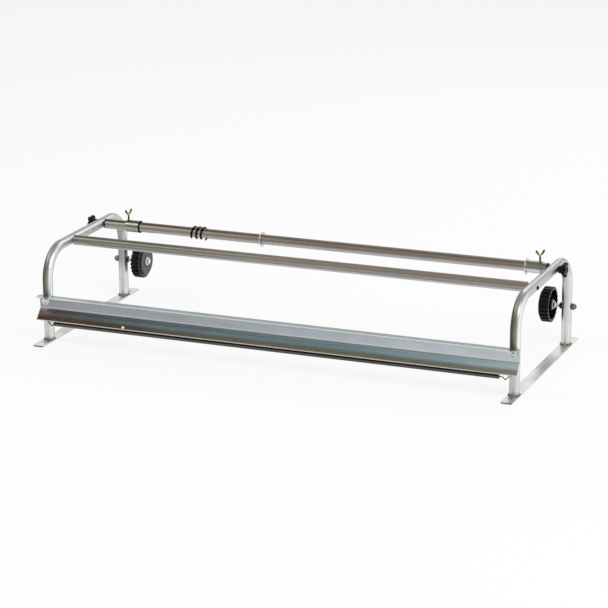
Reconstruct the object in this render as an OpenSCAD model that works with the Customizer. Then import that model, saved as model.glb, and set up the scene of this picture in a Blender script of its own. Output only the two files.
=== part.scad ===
// Bench-top masking paper dispenser: two bent tube frames on base bars, a paper spindle
// with sliding collars, a fixed guide tube, a toothed cutter plate, a presser rod and two
// tape hubs. Millimetres, +X along the paper width, +Y to the rear, +Z up. The origin is
// on the bench, under the middle of the machine.

/* [Side frames] */
// Distance between the centre planes of the two side frames
frame_spacing = 1065; // [1000:1:1300]
// Distance between the front and rear leg of a frame
leg_spacing = 370; // [330:1:420]
// Height of the top rails, the guide tube and the spindle above the bench
rail_h = 200.5; // [190:0.5:230]
// Centreline radius of the frame's two bends
bend_r = 65; // [45:1:80]
// Outside diameter of every tube
tube_od = 22.2; // [20:0.1:25]
// Wall thickness of every tube
tube_wall = 1.5; // [1:0.1:2.5]

/* [Base bars] */
// Width of a base bar
bar_w = 25; // [25:0.5:40]
// Thickness of a base bar
bar_t = 3; // [2:0.5:6]
// Length of a base bar past each leg's centre
bar_overhang = 55; // [45:1:80]
// Corner radius of a base bar
bar_corner_r = 3; // [1:0.5:6]
// Diameter of the bench screw holes
foot_hole_d = 6.5; // [4:0.1:9]
// Distance from a bar's end to its screw hole
foot_hole_inset = 27.5; // [20:0.5:32]
// Size of the weld bead round each leg's foot
weld_size = 3; // [1.5:0.1:4]

/* [Guide tube] */
// Distance of the guide tube in front of the middle
guide_y = 73; // [55:1:80]
// Diameter of the guide tube's end screws
guide_screw_d = 6; // [5:0.5:6]
// Length of the guide tube's end screws past the rail's inner side
guide_screw_bite = 16; // [10:1:18]
// Length of the plug in each end of the guide tube
guide_plug_len = 20; // [15:1:30]

/* [Spindle] */
// Distance of the spindle behind the middle
spindle_y = 79; // [55:1:85]
// Gap between a spindle end and the rail
spindle_end_gap = 0.3; // [0.2:0.05:0.6]
// Length of the threaded plug in each spindle end
spindle_plug_len = 25; // [20:1:35]
// Thickness of a plug's flange, outside the tube's end
plug_flange_t = 3; // [1:0.5:6]
// Diameter of the clamping studs
stud_d = 8; // [6:0.5:8]
// Length of the clamping studs past the rail's inner side
stud_bite = 20; // [12:1:22]

/* [Clamping knobs] */
// Diameter over the lobes
knob_d = 33; // [28:0.5:36]
// Number of lobes
knob_lobes = 5; // [3:1:7]
// Height of the lobed head
knob_head_h = 9; // [6:0.5:12]
// Diameter of the boss under the head
knob_boss_d = 17; // [14:0.5:20]
// Length of the boss
knob_boss_h = 8.2; // [6:0.1:10]
// Depth of the valleys between the lobes
knob_valley = 6.4; // [1:0.1:7]
// Turn of the left knob
left_knob_turn = 180; // [0:1:359]
// Turn of the right knob
right_knob_turn = 0; // [0:1:359]

/* [Spindle collars] */
// Wall thickness of a collar
collar_wall = 1.95; // [1.5:0.05:4]
// Length of a collar
collar_len = 32; // [28:0.5:45]
// Bare spindle between its left end and the left collar
left_collar_inset = 54.1; // [48:0.1:70]
// Bare spindle between its right end and the right collar
right_collar_inset = 15.1; // [9:0.1:60]
// Distance of a wing screw from its collar's middle, towards the frame
wing_offset = 12; // [8:0.5:12]
// Loose fit of the sliding pieces on the spindle, on the radius
slide_gap = 0.25; // [0.15:0.01:0.3]
// Thickness of the round ring at the left collar's inner end
stop_ring_t = 2.6; // [1.5:0.1:4]

/* [Wing screws] */
// Diameter of the screw
wing_screw_d = 4; // [4:0.5:6]
// Height of the wing hub's underside above the spindle's axis
wing_hub_z = 25; // [18:0.5:28]
// Diameter of the wing hub
wing_hub_d = 7; // [6.5:0.5:10]
// Height of the wing hub
wing_hub_h = 4; // [3:0.5:6]
// Taper of the wing hub, on the diameter
wing_hub_taper = 1; // [0:0.1:3]
// Distance from the screw's axis to a wing's tip
wing_reach = 11; // [9:0.5:12]
// Height of the wing tips above the hub's underside
wing_h = 13; // [10:0.5:16]
// Thickness of a wing
wing_t = 2.4; // [1.5:0.1:3]
// Turn of the left wing screw
left_wing_turn = 72; // [0:1:180]
// Turn of the right wing screw
right_wing_turn = 40; // [0:1:180]

/* [Roll discs] */
// Outside diameter of a roll disc
disc_od = 35; // [30:0.5:45]
// Thickness of a roll disc
disc_t = 2; // [1.5:0.1:3]
// Place of the loose divider disc along the spindle
divider_x = -137; // [-150:1:-100]

/* [Drag spring] */
// Wire diameter
spring_wire_d = 3.3; // [1.5:0.1:3.5]
// Play between the coil and the spindle, on the radius
spring_play = 0.5; // [0.4:0.05:1]
// Distance from turn to turn
spring_pitch = 11.4; // [8:0.1:12]
// Place of the first turn's front along the spindle
spring_x = -303; // [-315:1:-290]
// Angle at which the wire starts, with the first turn's front at zero
spring_start = -70; // [-90:1:0]
// Angle at which the wire leaves the coil
spring_finish = 1000; // [900:5:1080]
// Length of the straight tail
spring_tail = 9; // [4:0.5:12]

/* [Tape hubs] */
// Height of the hub axles above the bench
hub_h = 89; // [80:1:110]
// Diameter over the ribs
hub_od = 77.4; // [70:0.1:80]
// Height of a rib
rib_h = 3; // [1:0.1:4]
// Width of a rib
rib_w = 5.2; // [2:0.1:8]
// Number of ribs
rib_count = 24; // [12:1:28]
// Width of the ribbed drum
hub_drum_w = 20; // [15:0.5:25]
// Width of the lead-in step
hub_lead_w = 4; // [3:0.5:6]
// Diameter of the lead-in step
hub_lead_d = 64; // [60:0.5:66]
// Wall of the drum under the ribs
hub_wall = 3.2; // [2:0.1:4]
// Thickness of the hub's web
hub_web = 5; // [4:0.5:8]
// Diameter of the hub's boss
hub_boss_d = 24; // [22:0.5:30]
// Depth of the boss's outer end below the drum's edge
hub_recess = 1; // [0.5:0.5:8]
// Gap between the left hub and its leg
left_hub_leg_gap = 26; // [16:0.1:30]
// Gap between the right hub and its leg
right_hub_leg_gap = 20; // [16:0.1:30]
// Diameter of the axle
axle_d = 8; // [6:0.5:8]
// Running fit of a hub on its axle, on the radius
hub_gap = 0.08; // [0.03:0.01:0.1]
// Play of a hub between its washers, at each side
hub_play = 0.3; // [0.1:0.05:0.5]

/* [Nuts and washers] */
// Size across the flats of the axle nuts
nut_af = 13; // [13:0.5:14]
// Thickness of a lock nut against the leg
nut_h = 4; // [3:0.5:7]
// Thickness of a thin nut
thin_nut_h = 4; // [3:0.5:5]
// Height of a dome nut's hexagon
dome_base_h = 6; // [5:0.5:7]
// Diameter of the dome on a dome nut
nut_dome_d = 12; // [10:0.5:12.5]
// Height of the dome on a dome nut
nut_dome_h = 5; // [3:0.5:6]
// Length of axle that shows past its inner nut
axle_end = 2; // [1:0.5:4]
// Diameter of the hub washers
hub_washer_d = 19; // [16:0.5:20]
// Thickness of the washers
washer_t = 1.6; // [1:0.1:2]

/* [Cutter plate] */
// Thickness of the sheet
sheet_t = 1.5; // [1:0.1:2]
// Inside radius of the sheet's bends
sheet_bend_r = 1.5; // [1:0.1:2.5]
// Length of the plate past each frame's centre plane
plate_overhang = 13.5; // [12:0.5:18]
// Height of the toothed edge above the bench
plate_top_h = 106.5; // [103:0.5:115]
// Reach of the tooth tips in front of the upright web
tooth_reach = 28; // [20:0.5:32]
// Depth of the teeth
tooth_depth = 7; // [2:0.1:8]
// Distance from tooth to tooth
tooth_pitch = 5.15; // [4:0.05:10]
// Plain stretch at each end of the toothed edge
tooth_margin = 6; // [4:0.5:20]
// Height of the upright web, from the lip's bend to the toothed edge
web_h = 29.5; // [28:0.5:36]
// Angle of the lip from upright
lip_angle = 42; // [30:1:50]
// Length of the lip
lip_len = 27.5; // [22:0.5:30]
// Depth of the folded hem
hem_len = 8; // [5:0.5:12]
// Distance of the plate screws below the toothed edge
plate_screw_drop = 13.5; // [12.5:0.5:16]
// Diameter of the plate screws
plate_screw_d = 6; // [5:0.5:6]
// Length of the plate screws under the head
plate_screw_len = 16; // [12:1:18]
// Diameter of a plate screw's head
plate_head_d = 11.5; // [10:0.5:13]
// Height of a plate screw's head
plate_head_h = 3.4; // [2.5:0.1:4]
// Diameter of the plate washers
plate_washer_d = 18; // [15:0.5:20]
// Place of the lip rivet along the plate
rivet_x = -338.6; // [-400:0.2:400]
// Distance of the lip rivet from the lip's bend, along the lip
rivet_down = 23.5; // [21:0.5:24]
// Diameter of the lip rivet's head
rivet_head_d = 8; // [6:0.5:10]

/* [Presser rod] */
// Diameter of the rod
rod_d = 10; // [8:0.5:12]
// End play of the rod between its hooks, on each side of the middle
rod_end_play = 4.5; // [3:0.1:8]
// Shift of the rod to the left, within its end play
rod_shift = 3; // [0:0.1:3]
// Depth of the bore in each rod end
rod_bore_depth = 22; // [20:1:30]
// Distance of the rod's axis below the cutter plate's toothed edge
rod_drop = 62.5; // [60:0.5:66]
// Diameter of the hook wire
hook_wire_d = 2; // [1.5:0.1:2.5]
// Play of a hook's end in the rod's bore, on the radius
hook_play = 0.1; // [0.05:0.01:0.3]
// Length of a hook's end inside the rod's bore line
hook_insert = 19; // [14:1:19]
// Distance along the rod from a hook's bend to its lowest point
hook_step = 5; // [3:0.5:8]
// Depth of the V in a hook
hook_drop = 6; // [4:0.5:8]
// Rise of a hook's outer end above the rod's axis
hook_rise = 6; // [4:0.5:8]
// Distance of a hook's outer end from its leg's middle, towards the rod
hook_leg_offset = 3; // [2:0.5:5]
// Length of a hook's outer end inside the leg's wall
hook_past_wall = 2; // [1:0.5:4]

/* [Hidden] */
$fn = 64;

// Overrun of every cut past the face that it opens
over = 1;
// Clearance of a screw in a plain hole, on the diameter
hole_play = 0.6;
// Clearance of threads and pressed plugs, on the radius
thread_gap = 0.05;
// Gap of a clamping knob's boss to the rail
knob_gap = 0.2;
// Gap of a wing screw's point to the spindle
point_gap = 0.3;

// Frames
tube_r = tube_od / 2;
tube_id = tube_od - 2 * tube_wall;
frame_x = frame_spacing / 2;
leg_y = leg_spacing / 2;
rail_half = leg_y - bend_r;
frame_in = frame_x - tube_r;
frame_out = frame_x + tube_r;
bar_len = leg_spacing + 2 * bar_overhang;
foot_hole_y = bar_len / 2 - foot_hole_inset;

// Guide tube and its screws
guide_head_d = 10;
guide_head_h = 3;
guide_screw_len = tube_od + guide_screw_bite;
hex_socket_d = 4.6;
hex_socket_depth = 2;

// Spindle
spindle_half = frame_in - spindle_end_gap;
spindle_tube_half = spindle_half - plug_flange_t;
stud_inner = frame_in - stud_bite;
knob_base = frame_out + knob_gap;
knob_top = knob_base + knob_boss_h + knob_head_h;
stud_outer = knob_top - knob_head_h / 2;
knob_edge_r = 2;
knob_steps = 12;

// Collars and wing screws
slide_bore_d = tube_od + 2 * slide_gap;
collar_od = slide_bore_d + 2 * collar_wall;
left_collar_x = left_collar_inset + collar_len / 2 - spindle_half;
right_collar_x = spindle_half - right_collar_inset - collar_len / 2;
stop_ring_r = slide_bore_d / 2 + stop_ring_t / 2;
wing_tip_r = 2.5;
// The round of a wing's tip starts and ends where the straight edges leave it
wing_tip_start = -30;
wing_tip_end = 150;
wing_steps = 10;

// Drag spring
spring_r = tube_r + spring_play + spring_wire_d / 2;
spring_rings_per_turn = 24;
spring_sides = 6;

// Tape hubs
function hub_leg_gap(side) = side < 0 ? left_hub_leg_gap : right_hub_leg_gap;
function hub_outer_x(side) = frame_in - hub_leg_gap(side);
hub_w = hub_drum_w + hub_lead_w;
function hub_inner_x(side) = hub_outer_x(side) - hub_w;
hub_root_d = hub_od - 2 * rib_h;
hub_stack = hub_play + washer_t + thin_nut_h;
function axle_inner_x(side) = hub_inner_x(side) - hub_stack - axle_end;
axle_outer_x = frame_out + dome_base_h;
nut_chamfer_share = 1.12;

// Cutter plate
plate_screw_h = plate_top_h - plate_screw_drop;
lip_bend_h = plate_top_h - web_h;
plate_half = frame_x + plate_overhang;
bend_out_r = sheet_bend_r + sheet_t;
bend_steps = 6;
flange_tip = sheet_t + tooth_reach;
flange_root = flange_tip - tooth_depth;
tooth_count = floor(2 * (plate_half - tooth_margin) / tooth_pitch);
rivet_nut_d = 9;
rivet_nut_bulge_d = 11.4;
rivet_nut_len = 13;
rivet_nut_bulge_h = 3;
rivet_shank_d = 4;
// The rivet goes through the lip and its folded hem
rivet_grip = 2 * sheet_t;
rivet_head_h = 2.2;
rivet_tail_d = 6.5;
rivet_tail_h = 1.8;

// Presser rod and its hooks
rod_h = plate_top_h - rod_drop;
rod_y = -leg_y - tube_r - rod_d / 2;
rod_bore_d = hook_wire_d + 2 * hook_play;
hook_high_x = frame_x - hook_leg_offset;
hook_low_x = hook_high_x - hook_drop - hook_rise;
hook_bend_x = hook_low_x - hook_step;
hook_tip_x = hook_bend_x - hook_insert;
hook_leg_depth = tube_wall + hook_past_wall;
rod_len = 2 * (hook_bend_x - rod_end_play);

// Points on an arc, from one angle to another
function arc(c, r, from, to, steps) =
    [for (i = [0:steps]) let (a = from + (to - from) * i / steps) c + r * [cos(a), sin(a)]];

// Turns the children so that their +Z points out of the machine, at one side of it
module outward(side, x, y, z) {
    translate([side * x, y, z])
        rotate([0, side * 90, 0])
            children();
}

// Turns the children so that their +Z points to the front
module forward(x, y, z) {
    translate([x, y, z])
        rotate([90, 0, 0])
            children();
}

// Spherical cap that stands on the plane z = 0
module cap(d, h) {
    ball_r = (d * d / 4 + h * h) / (2 * h);
    intersection() {
        translate([0, 0, h - ball_r])
            sphere(r = ball_r);
        cylinder(d = d, h = h);
    }
}

// Hexagonal prism with its corners turned off
module hex_body(af, h) {
    intersection() {
        cylinder(d = af / cos(30), h = h, $fn = 6);
        cylinder(d = af * nut_chamfer_share, h = h);
    }
}

module hex_nut(af, h, bore) {
    difference() {
        hex_body(af, h);
        translate([0, 0, -over])
            cylinder(d = bore, h = h + 2 * over);
    }
}

module washer(od, bore, t) {
    difference() {
        cylinder(d = od, h = t);
        translate([0, 0, -over])
            cylinder(d = bore, h = t + 2 * over);
    }
}

// Button-head screw: its shank runs down from z = 0 and its head stands on it
module button_screw(d, len, head_d, head_h) {
    translate([0, 0, -len])
        cylinder(d = d, h = len);
    difference() {
        cap(head_d, head_h);
        translate([0, 0, head_h - hex_socket_depth])
            cylinder(d = hex_socket_d, h = hex_socket_depth + over, $fn = 6);
    }
}

// One round bar between two points
module wire_run(p, q, d) {
    v = q - p;
    len = norm(v);
    translate(p)
        rotate([0, acos(v.z / len), atan2(v.y, v.x)])
            cylinder(d = d, h = len);
}

// Hoop of one diameter: two legs, two bends and the top rail
module hoop(d, drop) {
    bend_h = rail_h - bend_r;
    for (side = [-1, 1])
        translate([0, side * leg_y, bar_t - drop])
            cylinder(d = d, h = bend_h - bar_t + drop);
    rotate([90, 0, 90])
        for (flip = [0, 1])
            mirror([flip, 0, 0])
                translate([rail_half, bend_h, 0])
                    rotate_extrude(angle = 90)
                        translate([bend_r, 0])
                            circle(d = d);
    translate([0, -rail_half, rail_h])
        rotate([-90, 0, 0])
            cylinder(d = d, h = 2 * rail_half);
}

// Straight hole across a frame tube, along X
module cross_hole(d, y, z) {
    translate([-tube_r - over, y, z])
        rotate([0, 90, 0])
            cylinder(d = d, h = tube_od + 2 * over);
}

module side_frame(side) {
    color("gainsboro")
    translate([side * frame_x, 0, 0])
        difference() {
            hoop(tube_od, 0);
            hoop(tube_id, over);
            cross_hole(guide_screw_d + hole_play, -guide_y, rail_h);
            cross_hole(stud_d + hole_play, spindle_y, rail_h);
            cross_hole(axle_d + hole_play, leg_y, hub_h);
            // Front wall only: the rivet nut and the hook's end
            forward(0, -leg_y, plate_screw_h)
                cylinder(d = rivet_nut_d + 2 * thread_gap, h = tube_od);
            forward(side * (hook_high_x - frame_x), -leg_y, rod_h + hook_rise)
                cylinder(d = hook_wire_d + hole_play / 2, h = tube_od);
        }
}

module base_bar(side) {
    color("silver")
    translate([side * frame_x, 0, 0])
        difference() {
            linear_extrude(bar_t)
                bar_outline();
            for (end = [-1, 1])
                translate([0, end * foot_hole_y, -over])
                    cylinder(d = foot_hole_d, h = bar_t + 2 * over);
        }
}

module bar_outline() {
    square([bar_w - 2 * bar_corner_r, bar_len], center = true);
    square([bar_w, bar_len - 2 * bar_corner_r], center = true);
    for (sx = [-1, 1], sy = [-1, 1])
        translate([sx * (bar_w / 2 - bar_corner_r), sy * (bar_len / 2 - bar_corner_r)])
            circle(r = bar_corner_r);
}

// Weld beads, kept on the bar's width
module foot_welds() {
    color("dimgray")
    for (side = [-1, 1], end = [-1, 1])
        translate([side * frame_x, end * leg_y, bar_t])
            intersection() {
                rotate_extrude()
                    polygon([[tube_r, 0], [tube_r + weld_size, 0], [tube_r, weld_size]]);
                translate([-bar_w / 2, -tube_od, 0])
                    cube([bar_w, 2 * tube_od, weld_size]);
            }
}

module guide_tube() {
    color("darkgray")
    translate([-frame_in, -guide_y, rail_h])
        rotate([0, 90, 0])
            washer(tube_od, tube_id, 2 * frame_in);
}

module guide_tube_plugs() {
    color("gray")
    for (side = [-1, 1])
        outward(side, frame_in - guide_plug_len, -guide_y, rail_h)
            washer(tube_id - 2 * thread_gap, guide_screw_d + 2 * thread_gap, guide_plug_len);
}

module guide_tube_screws() {
    color("dimgray")
    for (side = [-1, 1])
        outward(side, frame_out, -guide_y, rail_h)
            button_screw(guide_screw_d, guide_screw_len, guide_head_d, guide_head_h);
}

module spindle_tube() {
    color("darkgray")
    translate([-spindle_tube_half, spindle_y, rail_h])
        rotate([0, 90, 0])
            washer(tube_od, tube_id, 2 * spindle_tube_half);
}

// Plugs with a flange that covers the tube's end
module spindle_plugs() {
    color("black")
    for (side = [-1, 1])
        outward(side, spindle_half, spindle_y, rail_h)
            difference() {
                union() {
                    translate([0, 0, -spindle_plug_len])
                        cylinder(d = tube_id - 2 * thread_gap, h = spindle_plug_len);
                    translate([0, 0, -plug_flange_t])
                        cylinder(d = tube_od, h = plug_flange_t);
                }
                translate([0, 0, -spindle_plug_len - over])
                    cylinder(d = stud_d + 2 * thread_gap, h = spindle_plug_len + 2 * over);
            }
}

// Lobed outline of a knob's head
function knob_outline() =
    let (n = knob_lobes * knob_steps, mid = (knob_d - knob_valley) / 2)
    [for (i = [0:n - 1]) let (a = 360 * i / n)
        (mid + knob_valley / 2 * cos(knob_lobes * a)) * [cos(a), sin(a)]];

// Side view of the head, with rounded edges
module knob_head_side() {
    inner_r = knob_d / 2 - knob_edge_r;
    polygon(concat(
        [[0, 0]],
        arc([inner_r, knob_edge_r], knob_edge_r, -90, 0, bend_steps),
        arc([inner_r, knob_head_h - knob_edge_r], knob_edge_r, 0, 90, bend_steps),
        [[0, knob_head_h]]));
}

module knob(side, turn) {
    color("black")
    outward(side, knob_base, spindle_y, rail_h)
        difference() {
            union() {
                cylinder(d = knob_boss_d, h = knob_boss_h + over);
                translate([0, 0, knob_boss_h])
                    rotate(turn)
                        intersection() {
                            linear_extrude(knob_head_h)
                                polygon(knob_outline());
                            rotate_extrude()
                                knob_head_side();
                        }
            }
            translate([0, 0, -over])
                cylinder(d = stud_d + 2 * thread_gap, h = stud_outer - knob_base + over);
        }
}

module knob_stud(side) {
    color("silver")
    outward(side, stud_inner, spindle_y, rail_h)
        cylinder(d = stud_d, h = stud_outer - stud_inner);
}

module collar(side, x) {
    color("silver")
    difference() {
        translate([x - collar_len / 2, spindle_y, rail_h])
            rotate([0, 90, 0])
                washer(collar_od, slide_bore_d, collar_len);
        translate([x + side * wing_offset, spindle_y, rail_h])
            cylinder(d = wing_screw_d + 2 * thread_gap, h = collar_od);
    }
}

// Round black ring that rests against the left collar
module stop_ring() {
    color("black")
    translate([left_collar_x + collar_len / 2 + stop_ring_t / 2, spindle_y, rail_h])
        rotate([0, 90, 0])
            rotate_extrude()
                translate([stop_ring_r, 0])
                    circle(d = stop_ring_t);
}

// Outline of both wings, seen from the side: up from the hub to two round tips
module wing_outline() {
    tip = [wing_reach - wing_tip_r, wing_h - wing_tip_r];
    for (flip = [0, 1])
        mirror([flip, 0])
            polygon(concat(
                [[0, 0], [wing_hub_d / 2, 0]],
                arc(tip, wing_tip_r, wing_tip_start, wing_tip_end, wing_steps),
                [[0, wing_hub_h]]));
}

module wing_screw(side, x, turn) {
    point_z = tube_r + point_gap;
    color("goldenrod")
    translate([x + side * wing_offset, spindle_y, rail_h])
        rotate([0, 0, turn]) {
            translate([0, 0, point_z])
                cylinder(d = wing_screw_d, h = wing_hub_z - point_z + over);
            translate([0, 0, wing_hub_z]) {
                cylinder(d1 = wing_hub_d, d2 = wing_hub_d - wing_hub_taper, h = wing_hub_h);
                translate([0, wing_t / 2, 0])
                    rotate([90, 0, 0])
                        linear_extrude(wing_t)
                            wing_outline();
            }
        }
}

module roll_disc(x) {
    color("lightgray")
    translate([x, spindle_y, rail_h])
        rotate([0, 90, 0])
            washer(disc_od, slide_bore_d, disc_t);
}

// Drag spring: one tube of wire along a helix that runs on into a straight tail
function spring_centre(a) =
    [spring_pitch * a / 360, -spring_r * cos(a), spring_r * sin(a)];
function spring_way(a) =
    let (v = [spring_pitch / (2 * PI), spring_r * sin(a), spring_r * cos(a)]) v / norm(v);
function spring_ring(c, a) =
    let (out = [0, -cos(a), sin(a)], across = cross(spring_way(a), out))
    [for (k = [0:spring_sides - 1]) let (t = 360 * k / spring_sides)
        c + spring_wire_d / 2 * (cos(t) * out + sin(t) * across)];

spring_steps = ceil((spring_finish - spring_start) / 360 * spring_rings_per_turn);
spring_angles = [for (i = [0:spring_steps])
    spring_start + (spring_finish - spring_start) * i / spring_steps];
spring_centres = [for (a = spring_angles) spring_centre(a)];
spring_end = spring_centre(spring_finish) + spring_tail * spring_way(spring_finish);

// Least gap of the wire to itself, measured between rings half a turn or more apart
spring_least_gap = min([for (i = [0:spring_steps])
    for (j = [i + spring_rings_per_turn / 2:1:spring_steps])
        norm(spring_centres[i] - spring_centres[j])]) - spring_wire_d;
spring_tail_gap = min([for (i = [0:spring_steps - spring_rings_per_turn / 2])
    norm(spring_centres[i] - spring_end)]) - spring_wire_d;
echo(drag_spring_least_gap = min(spring_least_gap, spring_tail_gap));

module drag_spring() {
    rings = concat(
        [for (i = [0:spring_steps]) spring_ring(spring_centres[i], spring_angles[i])],
        [spring_ring(spring_end, spring_finish)]);
    n = spring_sides;
    last = len(rings) - 1;
    sides = [for (i = [0:last - 1], k = [0:n - 1])
        let (a = i * n + k, b = i * n + (k + 1) % n)
        each [[a, b, a + n], [b, b + n, a + n]]];
    caps = [for (k = [1:n - 2])
        each [[0, k + 1, k], [last * n, last * n + k, last * n + k + 1]]];
    color("black")
    translate([spring_x, spindle_y, rail_h])
        polyhedron([for (ring = rings) each ring], concat(sides, caps));
}

// Ribbed outline of a tape hub's drum
module rib_outline() {
    circle(d = hub_root_d);
    intersection() {
        circle(d = hub_od);
        for (i = [0:rib_count - 1])
            rotate(360 * i / rib_count)
                translate([hub_root_d / 2 - rib_h, -rib_w / 2])
                    square([2 * rib_h + over, rib_w]);
    }
}

// Tape hub, drawn from its inner face at z = 0 towards the leg
module tape_hub(side) {
    wall_r = hub_root_d / 2 - hub_wall;
    boss_r = hub_boss_d / 2;
    boss_top = hub_w - hub_recess;
    color("black")
    outward(side, hub_inner_x(side), leg_y, hub_h)
        difference() {
            union() {
                cylinder(d = hub_lead_d, h = hub_lead_w + over);
                translate([0, 0, hub_lead_w])
                    linear_extrude(hub_drum_w)
                        rib_outline();
            }
            // Recess round the boss, open towards the leg
            rotate_extrude()
                polygon([
                    [boss_r, hub_web], [wall_r, hub_web], [wall_r, hub_w + over],
                    [0, hub_w + over], [0, boss_top], [boss_r, boss_top]
                ]);
            translate([0, 0, -over])
                cylinder(d = axle_d + 2 * hub_gap, h = hub_w + 2 * over);
        }
}

module hub_axle(side) {
    color("silver")
    outward(side, axle_inner_x(side), leg_y, hub_h)
        cylinder(d = axle_d, h = axle_outer_x - axle_inner_x(side));
}

module axle_dome_nuts() {
    color("silver")
    for (side = [-1, 1])
        outward(side, frame_out, leg_y, hub_h)
            difference() {
                union() {
                    hex_body(nut_af, dome_base_h);
                    translate([0, 0, dome_base_h])
                        cap(nut_dome_d, nut_dome_h);
                }
                translate([0, 0, -over])
                    cylinder(d = axle_d + 2 * thread_gap, h = dome_base_h + over);
            }
}

// Nut or washer on one axle, from a plane outward
module axle_nut(side, x, h) {
    outward(side, x, leg_y, hub_h)
        hex_nut(nut_af, h, axle_d + 2 * thread_gap);
}

module axle_washer(side, x) {
    outward(side, x, leg_y, hub_h)
        washer(hub_washer_d, axle_d + hole_play, washer_t);
}

module axle_lock_nuts() {
    color("dimgray")
    for (side = [-1, 1])
        axle_nut(side, frame_in - nut_h, nut_h);
}

module hub_outer_washers() {
    color("silver")
    for (side = [-1, 1])
        axle_washer(side, hub_outer_x(side) - hub_recess + hub_play);
}

module hub_outer_nuts() {
    color("silver")
    for (side = [-1, 1])
        axle_nut(side, hub_outer_x(side) - hub_recess + hub_play + washer_t, thin_nut_h);
}

module hub_inner_washers() {
    color("white")
    for (side = [-1, 1])
        axle_washer(side, hub_inner_x(side) - hub_play - washer_t);
}

module hub_inner_nuts() {
    color("silver")
    for (side = [-1, 1])
        axle_nut(side, hub_inner_x(side) - hub_stack, thin_nut_h);
}

// Section of the plate: u runs forward from the legs' front, v up from the bench
lip_start = [bend_out_r, lip_bend_h];
lip_way = [sin(lip_angle), -cos(lip_angle)];
lip_out = [cos(lip_angle), sin(lip_angle)];
lip_back = lip_start - bend_out_r * lip_out;
lip_end = lip_back + lip_len * lip_way;
top_bend = [bend_out_r, plate_top_h - bend_out_r];

function plate_section() = concat(
    [[flange_tip + over, plate_top_h]],
    arc(top_bend, bend_out_r, 90, 180, bend_steps),
    arc(lip_start, bend_out_r, 180, 180 + lip_angle, bend_steps),
    [lip_end - hem_len * lip_way, lip_end - hem_len * lip_way - sheet_t * lip_out],
    arc(lip_end, sheet_t, lip_angle - 180, lip_angle, 2 * bend_steps),
    arc(lip_start, sheet_bend_r, 180 + lip_angle, 180, bend_steps),
    arc(top_bend, sheet_bend_r, 180, 90, bend_steps),
    [[flange_tip + over, plate_top_h - sheet_t]]);

// What the tooth punch takes away, seen from above: x along the plate, u forward
function tooth_gaps() = let (first = -tooth_count * tooth_pitch / 2) concat(
    [[-plate_half - over, flange_root], [first, flange_root]],
    [for (i = [0:tooth_count - 1], part = [0.5, 1])
        [first + (i + part) * tooth_pitch, part == 1 ? flange_root : flange_tip]],
    [[plate_half + over, flange_root],
     [plate_half + over, flange_tip + 2 * over],
     [-plate_half - over, flange_tip + 2 * over]]);

module cutter_plate() {
    color("lightsteelblue")
    translate([0, -leg_y - tube_r, 0])
        mirror([0, 1, 0])
            difference() {
                translate([-plate_half, 0, 0])
                    rotate([90, 0, 90])
                        linear_extrude(2 * plate_half)
                            polygon(plate_section());
                translate([0, 0, plate_top_h - sheet_t - over])
                    linear_extrude(sheet_t + 2 * over)
                        polygon(tooth_gaps());
                for (side = [-1, 1])
                    translate([side * frame_x, -over, plate_screw_h])
                        rotate([-90, 0, 0])
                            cylinder(d = plate_screw_d + hole_play, h = sheet_t + 2 * over);
                on_lip()
                    translate([0, 0, -rivet_grip - over])
                        cylinder(d = rivet_shank_d, h = rivet_grip + 2 * over);
            }
}

// Puts the children on the lip's front face, with their +Z square to it
module on_lip() {
    spot = lip_back + sheet_t * lip_out + rivet_down * lip_way;
    translate([rivet_x, spot.x, spot.y])
        rotate([lip_angle - 90, 0, 0])
            children();
}

module plate_screws() {
    color("silver")
    for (side = [-1, 1])
        forward(side * frame_x, -leg_y - tube_r - sheet_t - washer_t, plate_screw_h)
            button_screw(plate_screw_d, plate_screw_len, plate_head_d, plate_head_h);
}

module plate_washers() {
    color("silver")
    for (side = [-1, 1])
        forward(side * frame_x, -leg_y - tube_r - sheet_t, plate_screw_h)
            washer(plate_washer_d, plate_screw_d + hole_play, washer_t);
}

// Threaded inserts inside the front legs, behind the front wall
module plate_rivet_nuts() {
    // The bulge starts where it clears the round inner wall
    clear = sqrt(pow(tube_id / 2, 2) - pow(rivet_nut_bulge_d / 2, 2));
    bulge = tube_r - clear + thread_gap;
    color("gray")
    for (side = [-1, 1])
        forward(side * frame_x, -leg_y - tube_r + rivet_nut_len, plate_screw_h)
            difference() {
                union() {
                    cylinder(d = rivet_nut_d, h = rivet_nut_len);
                    translate([0, 0, rivet_nut_len - bulge - rivet_nut_bulge_h])
                        cylinder(d = rivet_nut_bulge_d, h = rivet_nut_bulge_h);
                }
                translate([0, 0, -over])
                    cylinder(d = plate_screw_d + 2 * thread_gap, h = rivet_nut_len + 2 * over);
            }
}

module lip_rivet() {
    color("gray")
    translate([0, -leg_y - tube_r, 0])
        mirror([0, 1, 0])
            on_lip() {
                cap(rivet_head_d, rivet_head_h);
                translate([0, 0, -rivet_grip])
                    cylinder(d = rivet_shank_d, h = rivet_grip);
                translate([0, 0, -rivet_grip - rivet_tail_h])
                    cylinder(d = rivet_tail_d, h = rivet_tail_h);
            }
}

module presser_rod() {
    color("dimgray")
    translate([-rod_shift - rod_len / 2, rod_y, rod_h])
        rotate([0, 90, 0])
            difference() {
                cylinder(d = rod_d, h = rod_len);
                translate([0, 0, -over])
                    cylinder(d = rod_bore_d, h = rod_bore_depth + over);
                translate([0, 0, rod_len - rod_bore_depth])
                    cylinder(d = rod_bore_d, h = rod_bore_depth + over);
            }
}

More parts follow.
